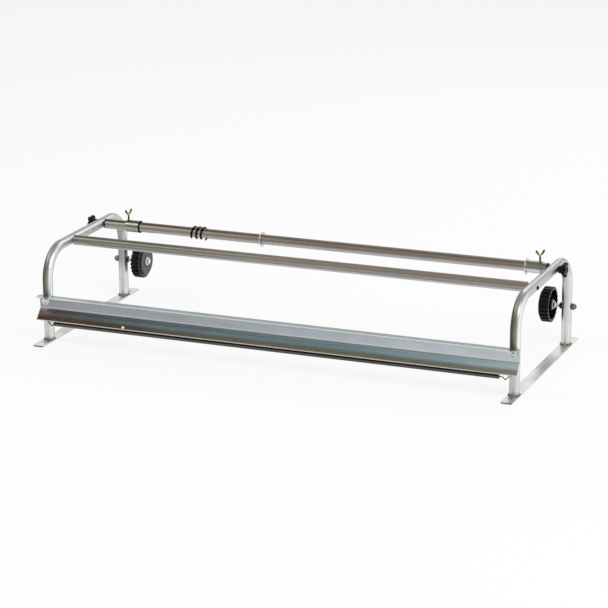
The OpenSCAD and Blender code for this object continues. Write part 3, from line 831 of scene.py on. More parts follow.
@dataclass(frozen=True)
class FrameTubing(Plating):
    """Bent zinc tube with painted shade and painted reflection tones by the way each face turns, and
    darker at the feet.
    """

    # Painted shade: brown-grey tones on faces that turn to -X, standing in for dark reflections on the
    # legs
    left_face_shade: Bands = (
        (0.0, (60, 52, 49)), (0.14, (68, 60, 56)), (0.28, (86, 78, 71)), (0.4, (108, 102, 91)),
        (0.51, (124, 119, 109)), (0.61, (141, 138, 128)), (0.7, (149, 146, 138)),
        (0.79, (206, 205, 200)), (0.865, (254, 254, 253)), (1.0, (254, 254, 254)),
    )
    left_face_shade_middle: float = 0.47
    patches: Grit = (60.0, 3.0, 0.5)
    patch_scale: Point = (1.0, 1.0, 0.3)
    patch_sway: float = 0.06
    shade_at_bench: float = 0.3
    low_span: Span = (0.05, 0.1)
    rear_fade: float = 0.3
    rear_span: Span = (0.0, 0.1)
    right_fade: float = 0.5
    right_span: Span = (-0.1, 0.1)
    # Painted reflection tone on faces that turn to the rear
    back: Colour = (190, 193, 194)
    back_share: float = 0.85
    back_span: Span = (-0.32, 0.05)
    # Painted reflection tones for rails and sloping bends, by how far a face turns up
    rail: Bands = (
        (0.25, (202, 203, 202)), (0.45, (196, 197, 196)), (0.57, (186, 188, 187)),
        (0.68, (212, 214, 213)), (0.77, (199, 202, 200)), (0.845, (167, 171, 170)),
        (0.915, (150, 155, 154)), (0.965, (150, 155, 154)), (1.0, (172, 175, 174)),
    )
    rail_span: Span = (0.202, 0.222)
    slope_span: Span = (0.45, 0.9)
    # Darker towards the feet, near the bench
    foot_tone: Colour = (96, 84, 74)
    foot_tone_share: float = 0.75
    foot_tone_span: Span = (0.003, 0.019)
    foot_tone_sway: float = 0.008

    def tint(self, bench: Bench, place: Flow, colour: Flow) -> Flow:
        """The painted shade follows how far a leg's face turns to -X, and leaves rails and bends.

        It is weaker on the rear legs, most of all on the right one, and near the bench. Faces that turn to
        the rear get a painted reflection tone of their own, rails and sloping parts of the bends get
        painted reflection tones by how far their faces turn up, and the tube is darker towards the feet.

        Args:
            bench: Where the nodes stand.
            place: The point's place.
            colour: The plain metal.

        Returns:
            The stained colour.
        """
        turned, away, up = bench.split(bench.facing())
        x, y, height = bench.split(place)
        patchy = bench.noise(bench.stretch(place, self.patch_scale), *self.patches)
        upright = 1 - bench.ease(abs(up), *self.slope_span)
        rightward = self.rear_fade + self.right_fade * bench.ease(x, *self.right_span)
        rear = bench.ease(y, *self.rear_span) * rightward
        raised = self.shade_at_bench + (1 - self.shade_at_bench) * bench.ease(height, *self.low_span)
        # painted shade on faces that turn to -X, weaker on the rear legs and near the bench
        tone = as_share(turned, self.left_face_shade_middle) + self.patch_sway * patchy
        colour = bench.mix((1 - rear) * raised, colour, bench.ramp(tone, self.left_face_shade))
        # painted reflection tone on faces that turn to the rear
        colour = bench.mix(self.back_share * bench.ease(away, *self.back_span), colour, self.back)
        # painted reflection tones on rails and sloping bends, by how far each face turns up
        level = bench.ease(height, *self.rail_span)
        shelf = level + (1 - level) * (1 - upright)
        colour = bench.mix(shelf, colour, bench.ramp(as_share(up), self.rail))
        # darker towards the feet, near the bench
        above_foot = bench.ease(height + self.foot_tone_sway * patchy, *self.foot_tone_span)
        return bench.mix(self.foot_tone_share * (1 - above_foot), colour, self.foot_tone)


@dataclass(frozen=True)
class BarStock(Plating):
    """Sheared zinc bar with painted shade on the faces that turn to the front."""

    # Painted shade for the bar's faces that turn to the front
    cut: Colour = (62, 56, 52)
    front_shade_share: float = 0.85
    front_shade_span: Span = (-0.5, -0.85)

    def tint(self, bench: Bench, place: Flow, colour: Flow) -> Flow:
        """Returns the colour with painted shade on the faces that turn to the front."""
        ahead = bench.split(bench.facing())[1]
        # painted shade on faces that turn to the front
        return bench.mix(self.front_shade_share * bench.ease(ahead, *self.front_shade_span), colour, self.cut)


@dataclass(frozen=True)
class BandedTubing(Plating):
    """Drawn tube with painted reflection and shade in bands round it, from the lowest face to the highest.

    The bands are given by place = (1 + the upward part of the facing direction) / 2, for
    the left end of the machine and for the rest of it.
    """

    # Painted reflection and shade bands, for the left end and for the rest of the machine
    left: Bands = ()
    right: Bands = ()
    fade_span: Span = (-0.42, 0.0)
    share: float = 0.9
    streaks: Grit = (1.0, 3.0, 0.5)
    streak_scale: Point = (3.0, 60.0, 60.0)
    streak_sway: float = 0.05

    def tint(self, bench: Bench, place: Flow, colour: Flow) -> Flow:
        """Each painted band wavers a little, and the left bands fade into the right ones.

        Args:
            bench: Where the nodes stand.
            place: The point's place.
            colour: The plain metal.

        Returns:
            The banded colour.
        """
        up = bench.split(bench.facing())[2]
        along = bench.split(place)[0]
        streak = bench.noise(bench.stretch(place, self.streak_scale), *self.streaks)
        band = as_share(up) + self.streak_sway * (streak - MIDDLE)
        fade = bench.ease(along, *self.fade_span)
        # painted reflection and shade bands round the tube
        tone = bench.mix(fade, bench.ramp(band, self.left), bench.ramp(band, self.right))
        return bench.mix(self.share, colour, tone)


@dataclass(frozen=True)
class CutterSheet(Plating):
    """Zinc sheet with painted reflection and shade: pale grey web, and a slate blue lip painted darker and
    browner downwards and to the left.

    Places are in metres. Spans whose names end in rise, fall or depth are measured from the edge that they
    belong to: the top, the lower bend, the hem or the toothed strip.
    """

    top: float = PLATE_TOP * MM
    bend: float = PLATE_BEND * MM
    hem: float = 0.0545
    half: float = PLATE_HALF * MM
    teeth_start_y: float = -0.2152
    streaks: Grit = (1.0, 3.0, 0.5)
    streak_scale: Point = (5.0, 40.0, 40.0)
    drift: float = 0.0022
    drift_along: float = 12.0
    share: float = 0.8
    # Painted reflection tone on the flange's top
    flange: Colour = (166, 177, 177)
    flange_rise: Span = (-0.0025, -0.001)
    # Painted highlight on the teeth
    teeth_highlight: Colour = (232, 240, 240)
    teeth_highlight_rise: Span = (-0.004, -0.003)
    teeth_highlight_depth: Span = (0.0, -0.0004)
    # Painted shade line along the lower bend
    line: Colour = (104, 106, 106)
    bend_shade_rise: Span = (0.0004, -0.0004)
    bend_shade_fall: Span = (-0.0026, -0.0016)
    bend_shade_share: float = 0.35
    # Painted highlight line just above the lower bend
    crest: Colour = (212, 217, 221)
    bend_highlight_rise: Span = (0.0006, 0.0014)
    bend_highlight_fall: Span = (0.0034, 0.0024)
    bend_highlight_share: float = 0.5
    # Painted reflection and shade along the web, darker to the left
    web_high: Bands = (
        (0.0, (142, 146, 150)), (0.44, (160, 169, 173)), (0.65, (171, 181, 187)),
        (0.87, (187, 198, 203)), (1.0, (191, 199, 204)),
    )
    web_low: Bands = (
        (0.0, (152, 152, 155)), (0.44, (171, 175, 181)), (0.65, (186, 192, 197)),
        (0.87, (201, 205, 210)), (1.0, (200, 204, 206)),
    )
    # Painted reflection and shade on the lip, darker and browner downwards and to the left
    lip_edge: Bands = (
        (0.0, (88, 78, 76)), (0.07, (108, 108, 112)), (0.225, (128, 134, 138)),
        (0.44, (154, 170, 178)), (0.65, (166, 186, 192)), (0.87, (198, 212, 216)),
        (1.0, (226, 234, 236)),
    )
    lip_high: Bands = (
        (0.0, (70, 62, 60)), (0.07, (78, 79, 81)), (0.225, (86, 100, 102)),
        (0.44, (111, 126, 134)), (0.65, (127, 151, 159)), (0.87, (164, 182, 189)),
        (1.0, (190, 209, 217)),
    )
    lip_low: Bands = (
        (0.0, (50, 37, 25)), (0.07, (50, 40, 32)), (0.225, (55, 50, 45)), (0.44, (88, 86, 78)),
        (0.65, (107, 105, 92)), (0.87, (112, 116, 104)), (1.0, (136, 136, 122)),
    )
    lip_rise: Span = (-0.0005, -0.0018)
    edge_fall: Span = (-0.0025, -0.0065)
    lip_zone: Span = (0.35, 0.75)
    # Painted highlight along the hem's fold
    folded: Colour = (216, 208, 198)
    hem_highlight_share: float = 0.9
    hem_highlight_rise: Span = (0.0012, 0.0006)

    def tint(self, bench: Bench, place: Flow, colour: Flow) -> Flow:
        """The zones follow the height, and each one's painted reflection and shade runs along the plate.

        The teeth carry a painted highlight, a painted highlight line and a painted shade line run along
        the lower bend, and a painted highlight runs along the hem's fold.

        Args:
            bench: Where the nodes stand.
            place: The point's place.
            colour: The plain metal.

        Returns:
            The stained colour.
        """
        x, y, z = bench.split(place)
        streak = bench.noise(bench.stretch(place, self.streak_scale), *self.streaks)
        drift = self.drift * (streak - MIDDLE)
        along = as_share(x * (1 / self.half)) + self.drift_along * drift
        low = z + drift
        # painted reflection and shade zones of the web and the lip
        webs = bench.ramp(along, self.web_high), bench.ramp(along, self.web_low)
        web = bench.mix(bench.ease(low, self.top, self.bend), *webs)
        upper_lip = bench.mix(
            bench.step(z, self.bend, self.edge_fall),
            bench.ramp(along, self.lip_edge),
            bench.ramp(along, self.lip_high),
        )
        zone = [self.bend - share * (self.bend - self.hem) for share in self.lip_zone]
        lip = bench.mix(bench.ease(low, *zone), upper_lip, bench.ramp(along, self.lip_low))
        colour = bench.mix(self.share, colour, web)
        colour = bench.mix(bench.step(z, self.bend, self.lip_rise), colour, lip)
        # painted shade line along the lower bend
        lined = bench.step(z, self.bend, self.bend_shade_rise) * bench.step(z, self.bend, self.bend_shade_fall)
        colour = bench.mix(self.bend_shade_share * lined, colour, self.line)
        # painted highlight line just above the lower bend
        lit = bench.step(z, self.bend, self.bend_highlight_rise) * bench.step(z, self.bend, self.bend_highlight_fall)
        colour = bench.mix(self.bend_highlight_share * lit, colour, self.crest)
        # painted reflection tone on the flange's top
        colour = bench.mix(bench.step(z, self.top, self.flange_rise), colour, self.flange)
        # painted highlight on the teeth
        toothed = bench.step(y, self.teeth_start_y, self.teeth_highlight_depth)
        teeth_highlight = bench.step(z, self.top, self.teeth_highlight_rise) * toothed
        colour = bench.mix(teeth_highlight, colour, self.teeth_highlight)
        # painted highlight along the hem's fold
        folded = bench.step(z, self.hem, self.hem_highlight_rise)
        return bench.mix(self.hem_highlight_share * folded, colour, self.folded)


@dataclass(frozen=True)
class WingBrass(Plating):
    """Cast brass wings, nearly black at the ears, over a blackened screw, with a painted highlight band
    round the hub.
    """

    # Height tones: blackened screw, a painted highlight band round the hub, and darker up the ears
    tones: Bands = (
        (0.0, (36, 32, 28)), (0.3, (38, 34, 28)), (0.33, (150, 118, 78)), (0.38, (238, 212, 160)),
        (0.5, (206, 168, 112)), (0.58, (120, 88, 58)), (0.7, (66, 50, 40)), (1.0, (58, 46, 40)),
    )
    foot: float = 0.2185
    rise: float = 0.02
    rubs: Grit = (330.0, 4.0, 0.6)
    rub_sway: float = 0.16
    rub_span: Span = (0.58, 0.7)
    rub_level: Span = (0.34, 0.4)
    share: float = 0.94
    rub_share: float = 0.7

    def tint(self, bench: Bench, place: Flow, colour: Flow) -> Flow:
        """The tone follows the height, with a painted highlight band round the hub, and rubbed patches
        keep the plain brass.

        Args:
            bench: Where the nodes stand.
            place: The point's place.
            colour: The plain brass.

        Returns:
            The toned colour.
        """
        height = bench.split(place)[2]
        rubbed = bench.noise(place, *self.rubs)
        level = (height - self.foot) * (1 / self.rise) + self.rub_sway * (rubbed - MIDDLE)
        worn = bench.ease(rubbed, *self.rub_span) * bench.ease(level, *self.rub_level)
        # height tones, with a painted highlight band round the hub
        return bench.mix(self.share - self.rub_share * worn, colour, bench.ramp(level, self.tones))


@dataclass(frozen=True)
class Moulding(Finish):
    """Moulded plastic with a fine spark-eroded skin, dusty clouds and rubbed spots."""

    colour: Colour
    worn: Colour
    roughness: float = 0.42
    skin: Grit = (2400.0, 2.0, 0.5)
    depth: float = 0.25
    relief: float = 0.00008
    rubs: Grit = (190.0, 4.0, 0.65)
    rub_span: Span = (0.56, 0.72)
    rub_share: float = 0.35
    rub_smooth: float = 0.08
    clouds: Grit = (70.0, 4.0, 0.6)
    cloud_rough: float = 0.14
    dust: float = 0.12
    dust_span: Span = (0.4, 0.7)
    gloss: float = 0.15
    face: Colour | None = None
    face_span: Span = (0.93, 0.99)
    face_least: float = 0.4
    face_cloud: float = 0.9

    def lay_out(self, bench: Bench) -> None:
        """Rubbed spots are paler and smoother, and dust makes the clouds duller.

        Where the finish has a face colour, faces that turn to either end of the machine
        show it through the clouds.

        Args:
            bench: Where the nodes stand.
        """
        place = bench.place()
        skin_relief = bench.noise(place, *self.skin)
        cloud = bench.noise(place, *self.clouds)
        rubbed = bench.ease(bench.noise(place, *self.rubs), *self.rub_span)
        colour = bench.mix(self.rub_share * rubbed, self.colour, self.worn)
        colour = bench.mix(self.dust * bench.ease(cloud, *self.dust_span), colour, self.worn)
        if self.face:
            end = bench.ease(abs(bench.split(bench.facing())[0]), *self.face_span)
            colour = bench.mix(end * (self.face_least + self.face_cloud * cloud), colour, self.face)
        rough = self.roughness + self.cloud_rough * (cloud - MIDDLE) - self.rub_smooth * rubbed
        inputs = {
            "Base Color": colour,
            "Specular IOR Level": self.gloss,
            "Roughness": rough,
            "Normal": bench.bump(skin_relief, self.depth, self.relief),
        }
        bench.surface(bench.node("ShaderNodeBsdfPrincipled", inputs=inputs))


@dataclass(frozen=True)
class WeldBead(Finish):
    """Brushed weld with soot in its hollows."""

    bright: Colour = (150, 142, 132)
    soot: Colour = (62, 55, 50)
    lumps: Grit = (330.0, 4.0, 0.6)
    soot_span: Span = (0.4, 0.6)
    pits: Grit = (1500.0, 3.0, 0.5)
    roughness: float = 0.34
    swing: float = 0.3
    depth: float = 0.5
    relief: float = 0.0002

    def lay_out(self, bench: Bench) -> None:
        """Soot gathers by a coarse noise, and a fine one roughens the bead.

        Args:
            bench: Where the nodes stand.
        """
        place = bench.place()
        coarse = bench.noise(place, *self.lumps)
        fine = bench.noise(place, *self.pits)
        inputs = {
            "Base Color": bench.mix(bench.ease(coarse, *self.soot_span), self.bright, self.soot),
            "Metallic": 1.0,
            "Roughness": self.roughness + self.swing * coarse,
            "Normal": bench.bump(fine + coarse, self.depth, self.relief),
        }
        bench.surface(bench.node("ShaderNodeBsdfPrincipled", inputs=inputs))


FRAME_ZINC = FrameTubing("frame_zinc", (238, 239, 237), (222, 224, 222), Grain.ALONG_Z, roughness=0.36)
BAR_ZINC = BarStock(
    "bar_zinc", (226, 227, 226), (206, 205, 203), Grain.ALONG_Y, roughness=0.30, swing=0.08
)
# The banded finishes below carry painted reflection and shade bands round the guide tube, spindle, collars
# and presser rod
GUIDE_ZINC = BandedTubing(
    "guide_zinc", (168, 164, 157), (150, 146, 139), Grain.ALONG_X, roughness=0.24,
    left=(
        (0.0, (156, 157, 154)), (0.1, (172, 172, 169)), (0.27, (162, 163, 159)), (0.38, (147, 148, 142)),
        (0.49, (143, 142, 134)), (0.6, (139, 137, 126)), (0.69, (114, 111, 99)), (0.78, (121, 117, 105)),
        (0.86, (103, 98, 88)), (0.93, (93, 89, 78)), (1.0, (110, 106, 98)),
    ),
    right=(
        (0.0, (166, 165, 165)), (0.13, (190, 189, 189)), (0.27, (190, 190, 191)), (0.38, (168, 167, 166)),
        (0.49, (159, 155, 151)), (0.6, (149, 142, 136)), (0.69, (136, 128, 119)), (0.78, (140, 131, 120)),
        (0.86, (140, 131, 120)), (0.94, (138, 131, 121)), (1.0, (132, 126, 118)),
    ),
)
SPINDLE_ZINC = BandedTubing(
    "spindle_zinc", (166, 160, 152), (148, 142, 134), Grain.ALONG_X, roughness=0.22,
    left=(
        (0.0, (150, 150, 148)), (0.13, (166, 167, 163)), (0.27, (166, 165, 162)), (0.38, (162, 160, 156)),
        (0.49, (154, 149, 141)), (0.6, (168, 160, 150)), (0.69, (172, 163, 150)), (0.775, (150, 141, 130)),
        (0.815, (66, 57, 46)), (0.9, (58, 49, 39)), (0.95, (88, 79, 68)), (1.0, (140, 134, 126)),
    ),
    right=(
        (0.0, (150, 149, 148)), (0.13, (176, 175, 175)), (0.27, (186, 184, 183)), (0.38, (172, 168, 166)),
        (0.49, (162, 155, 150)), (0.6, (129, 119, 112)), (0.69, (146, 133, 121)), (0.78, (125, 112, 99)),
        (0.86, (98, 88, 78)), (0.94, (127, 119, 111)), (1.0, (150, 143, 136)),
    ),
)
COLLAR_ZINC = BandedTubing(
    "collar_zinc", (186, 190, 186), (160, 164, 158), Grain.ALONG_X, roughness=0.26,
    left=(
        (0.0, (120, 124, 122)), (0.2, (124, 128, 126)), (0.34, (162, 167, 163)), (0.44, (172, 179, 172)),
        (0.52, (145, 152, 144)), (0.6, (118, 122, 112)), (0.69, (126, 127, 116)), (0.76, (168, 168, 154)),
        (0.83, (156, 152, 134)), (0.9, (66, 64, 50)), (0.96, (46, 48, 37)), (1.0, (88, 90, 82)),
    ),
    right=(
        (0.0, (170, 172, 172)), (0.15, (186, 190, 190)), (0.3, (222, 230, 230)), (0.42, (206, 212, 210)),
        (0.5, (156, 154, 148)), (0.58, (114, 111, 102)), (0.66, (150, 148, 134)), (0.73, (118, 118, 100)),
        (0.82, (98, 100, 84)), (0.93, (106, 108, 92)), (0.97, (150, 150, 140)), (1.0, (188, 188, 182)),
    ),
)
DISC_ZINC = Plating("disc_zinc", (222, 225, 225), (200, 204, 204), roughness=0.24)
SHEET_ZINC = CutterSheet(
    "sheet_zinc", (178, 182, 187), (164, 168, 174), Grain.ALONG_X, roughness=0.28
)
BRIGHT_STEEL = Plating("bright_steel", (236, 236, 234), (206, 206, 203), roughness=0.2)
DARK_STEEL = Plating("dark_steel", (60, 58, 56), (38, 36, 35), roughness=0.34)
# Dome nuts: bright steel painted darker, a painted reflection of dark surroundings
DOME_STEEL = Plating("dome_steel", (132, 130, 126), (92, 90, 87), roughness=0.2)
# The presser rod is bright steel painted dark: painted shade, with painted reflection bands round it
ROD_STEEL = BandedTubing(
    "rod_steel", (84, 82, 80), (66, 64, 62), Grain.ALONG_X, roughness=0.24, swing=0.08,
    clouds=(12.0, 5.0, 0.6),
    left=(
        (0.0, (40, 39, 38)), (0.12, (60, 60, 58)), (0.3, (98, 99, 95)), (0.5, (100, 100, 96)),
        (0.75, (62, 60, 57)), (1.0, (44, 42, 40)),
    ),
    right=(
        (0.0, (38, 37, 36)), (0.12, (56, 55, 55)), (0.3, (90, 90, 90)), (0.5, (94, 93, 92)),
        (0.75, (58, 56, 54)), (1.0, (42, 40, 39)),
    ),
)
BRASS = WingBrass(
    "yellow_brass", (226, 188, 128), (186, 142, 88), roughness=0.24, swing=0.1,
    clouds=(160.0, 5.0, 0.6),
)
WELD = WeldBead("weld_metal")
KNOB_PLASTIC = Moulding("knob_plastic", (11, 10, 12), (48, 46, 48), roughness=0.26, rub_share=0.2)
HUB_PLASTIC = Moulding(
    "hub_plastic", (12, 11, 12), (52, 50, 50), roughness=0.3, rub_share=0.2, face=(96, 95, 96)
)
BLACK_WIRE = Moulding(
    "black_wire", (12, 11, 10), (44, 40, 37), roughness=0.3, skin=(1200.0, 2.0, 0.5), depth=0.2,
    rub_share=0.2, gloss=0.07,
)
NYLON = Moulding(
    "white_nylon", (242, 242, 239), (216, 214, 209), roughness=0.45, skin=(1500.0, 2.0, 0.5),
    depth=0.15, rub_share=0.2, gloss=0.5,
)


class Workshop:
    """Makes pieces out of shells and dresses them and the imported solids."""

    def __init__(self) -> None:
        """Starts with no materials and no pieces made."""
        self._materials: dict[Finish, bpy.types.Material] = {}

    def material(self, finish: Finish) -> bpy.types.Material:
        """Finds the one material that a finish has, or makes it.

        Args:
            finish: The finish.

        Returns:
            Its material.
        """
        if finish not in self._materials:
            self._materials[finish] = finish.material()
        return self._materials[finish]

    def piece(
        self,
        name: str,
        shell: Shell,
        finish: Finish,
        body: str,
        nodes: Sequence[str],
        crease: float = CREASE_TURNED,
    ) -> bpy.types.Object:
        """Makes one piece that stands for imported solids.

        Args:
            name: The piece's name.
            shell: Its skin in millimetres.
            finish: Its finish.
            body: The body that it rides on.
            nodes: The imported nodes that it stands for.
            crease: Angle in degrees past which an edge stays sharp.

        Returns:
            The piece's object.
        """
        made = bpy.data.objects.new(name, mesh_of(name, shell, crease))
        made.data.materials.append(self.material(finish))
        bpy.context.scene.collection.objects.link(made)
        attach(made, body)
        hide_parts(*nodes)
        LOG.info("piece %s: %d triangles", name, len(shell.triangles()))
        return made

    def dress(self, finish: Finish, *nodes: str) -> None:
        """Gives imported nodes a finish.

        Args:
            finish: The finish.
            *nodes: The nodes' names.
        """
        for node in nodes:
            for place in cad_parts[node].material_slots:
                place.material = self.material(finish)
            LOG.info("solid %s: %s", node, finish.name)


def mesh_of(name: str, shell: Shell, crease: float) -> bpy.types.Mesh:
    """Puts a shell's arrays into a mesh, in metres.

    Args:
        name: The mesh's name.
        shell: The shell in millimetres.
        crease: Angle in degrees past which an edge stays sharp.

    Returns:
        The mesh, smooth between its sharp edges.
    """
    mesh = bpy.data.meshes.new(name)
    corners = np.concatenate([shell.quads.ravel(), shell.tris.ravel()])
    sizes = np.concatenate([np.full(len(shell.quads), 4), np.full(len(shell.tris), 3)])
    mesh.vertices.add(len(shell.points))
    mesh.vertices.foreach_set("co", (shell.points * MM).astype(np.float32).ravel())
    mesh.loops.add(len(corners))
    mesh.loops.foreach_set("vertex_index", corners.astype(np.int32))
    mesh.polygons.add(len(sizes))
    starts = np.concatenate([[0], np.cumsum(sizes)[:-1]])
    mesh.polygons.foreach_set("loop_start", starts.astype(np.int32))
    mesh.polygons.foreach_set("use_smooth", np.ones(len(sizes), bool))
    mesh.update(calc_edges=True)
    mesh.validate()
    mesh.set_sharp_from_angle(angle=math.radians(crease))
    return mesh


# Sub-assemblies


@dataclass(frozen=True)
class SideFrames:
    """Two bent tube frames on base bars, with a rippled weld bead round each foot."""

    bar_half: float = 12.5
    bar_t: float = 3.0
    bead: float = 3.0
    ripples: int = 30
    ripple: float = 0.18
    sway: int = 3
    bulge: float = 0.2
    root: float = 0.3
    columns: int = 180
    section_steps: int = 6

    def weld(self, side: Side, end: int) -> Shell:
        """One bead: a quarter-round fillet in the corner between leg and bar.

        At angle t the bead's size is s = bead (1 - ripple + ripple |sin(u)|), where u is
        ripples t / 2 + sin(sway t). Its section runs from the leg at height s down a
        bulging curve to the bar at distance s, and it is kept on the bar's width.

        Args:
            side: End of the machine.
            end: -1 for the front leg and 1 for the rear leg.

        Returns:
            The bead's shell.
        """
        t = turns(self.columns)
        wave = np.abs(np.sin(self.ripples * t / 2 + np.sin(self.sway * t)))
        size = self.bead * (1 - self.ripple + self.ripple * wave)
        a = np.radians(np.linspace(90, 0, self.section_steps))[:, None]
        bulge = 1 - self.bulge + self.bulge * np.abs(np.cos(2 * a))
        out = np.concatenate([0 * size[None] - self.root, size * np.cos(a) * bulge])
        up = np.concatenate([0 * size[None], size * np.sin(a) * bulge])
        ring = TUBE_R + out
        x = np.clip(ring * np.cos(t), -self.bar_half, self.bar_half)
        points = np.stack([x, ring * np.sin(t), up], -1)
        centre = (side.value * FRAME_X, end * LEG_Y, self.bar_t)
        return skin(points, wrapped=True).placed(np.eye(3), centre)

    def build(self, shop: Workshop) -> None:
        """Dresses the frames and bars, and makes the weld beads.

        Args:
            shop: Makes and dresses the pieces.
        """
        shop.dress(FRAME_ZINC, "left_side_frame", "right_side_frame")
        shop.dress(BAR_ZINC, "left_base_bar", "right_base_bar")
        beads = Shell.join([self.weld(side, end) for side in Side for end in (-1, 1)])
        shop.piece(
            "rippled_foot_welds", beads, WELD, "frame", ["foot_welds"], CREASE_FINE
        )


@dataclass(frozen=True)
class GuideTube:
    """The fixed front tube and the two screws that hold its ends."""

    screw: ButtonScrew = ButtonScrew(6.0, 38.2, 10.0, 3.0)

    def build(self, shop: Workshop) -> None:
        """Dresses the tube and its plugs, and makes the end screws.

        Args:
            shop: Makes and dresses the pieces.
        """
        shop.dress(GUIDE_ZINC, "guide_tube")
        shop.dress(BRIGHT_STEEL, "guide_tube_plugs")
        screw = self.screw.shell()
        both = Shell.join([screw.outward(side, FRAME_OUT, GUIDE_Y, RAIL_Z) for side in Side])
        shop.piece(
            "guide_end_screws", both, DARK_STEEL, "frame", ["guide_tube_screws"]
        )


@dataclass(frozen=True)
class WingScrew:
    """A cast wing screw: point, tapered hub and two ears.

    The hub's foot stands at hub_z above the spindle's axis. An ear's corners are
    distances from the screw's own axis, with heights above that foot.
    """

    shank: float = 4.0
    point_gap: float = 0.3
    hub_z: float = 25.0
    hub_d: float = 7.0
    hub_taper: float = 1.0
    hub_h: float = 4.0
    reach: float = 11.0
    ear_h: float = 13.0
    ear_t: float = 2.4
    tip_r: float = 2.5
    tip_arc: Span = (-30.0, 150.0)
    tip_steps: int = 10
    ear_front: Line = ((1.2, 0.4), (3.3, 0.1), (5.9, 2.9))
    ear_back: Line = ((5.6, 9.4), (3.4, 6.2), (1.4, 4.2))
    ear_swell: Line = (
        (-1.0, 0.72), (-0.92, 0.90), (-0.6, 0.98), (0.0, 1.0), (0.6, 0.98), (0.92, 0.90), (1.0, 0.72),
    )
    point_cut: float = 0.8
    hub_cut: float = 0.4
    shoulder: Line = ((0.0, 1.2), (0.35, 0.4), (1.2, 0.0))
    columns: int = 40

    def stem(self) -> Shell:
        """Turned point, shank and hub, with a rounded shoulder on top.

        Returns:
            The stem's shell.
        """
        r, top = self.hub_d / 2, self.hub_z + self.hub_h
        slim = r - self.hub_taper / 2
        shank = self.shank / 2
        point = TUBE_R + self.point_gap
        profile = [(shank - self.point_cut, point), (shank, point + self.point_cut)]
        profile += [(shank, self.hub_z), (r - self.hub_cut, self.hub_z), (r, self.hub_z + self.hub_cut)]
        profile += [(slim - inward, top - down) for inward, down in self.shoulder]
        radii, heights = zip(*profile)
        return lathe(heights, radii, self.columns)

    def ear(self, flip: int) -> Shell:
        """One ear: its outline is swelled to full size at mid-thickness.

        The outline runs up from the hub, round the tip and back. Ring i is the outline
        scaled about its middle and set at its own share of half the thickness, which
        rounds the edges.

        Args:
            flip: 1 or -1 for the ear's direction.

        Returns:
            The ear's shell.
        """
        tip = (self.reach - self.tip_r, self.ear_h - self.tip_r)
        round_tip = arc(tip, self.tip_r, *self.tip_arc, self.tip_steps)
        outline = np.concatenate([self.ear_front, round_tip, self.ear_back])
        middle = outline.mean(axis=0)
        depth, scale = np.array(self.ear_swell).T[..., None]
        flat = middle + (outline - middle)[None] * scale[..., None]
        x, z = flip * flat[..., 0], self.hub_z + flat[..., 1]
        return skin(np.stack([x, depth * self.ear_t / 2 + 0 * x, z], -1))

    def shell(self, x: float, turn: float) -> Shell:
        """The whole screw, over the spindle's axis.

        Args:
            x: Place of its axis along the machine.
            turn: Turn of the ears in degrees.

        Returns:
            The screw's shell.
        """
        whole = Shell.join([self.stem(), self.ear(1), self.ear(-1)])
        c, s = math.cos(math.radians(turn)), math.sin(math.radians(turn))
        turned = np.array([[c, -s, 0], [s, c, 0], [0, 0, 1]])
        return whole.placed(turned, (x, SPINDLE_Y, RAIL_Z))


@dataclass(frozen=True)
class DragSpring:
    """The black wire coil that rides on the spindle."""

    x: float = -303.0
    play: float = 0.5
    wire_r: float = 1.65
    pitch: float = 11.4
    start: float = -70.0
    finish: float = 1000.0
    tail: float = 9.0
    tail_start: float = 0.1
    tail_samples: int = 6
    samples: int = 220
    sides: int = 14
    spacing: float = 1.3

    def shell(self) -> Shell:
        """Helix (p a / 360, -R cos a, R sin a), run on straight along its last direction.

        Returns:
            The coil's shell.
        """
        a = np.linspace(self.start, self.finish, self.samples)
        t, r = np.radians(a), TUBE_R + self.play + self.wire_r
        helix = np.stack([self.pitch * a / 360, -r * np.cos(t), r * np.sin(t)], -1)
        way = unit(helix[-1] - helix[-2])
        run = np.linspace(self.tail_start, 1, self.tail_samples)[:, None]
        tail = helix[-1] + self.tail * way * run
        coil = wire(np.concatenate([helix, tail]), self.wire_r, (1, 0, 0), self.sides, self.spacing)
        return coil.placed(np.eye(3), (self.x, SPINDLE_Y, RAIL_Z))


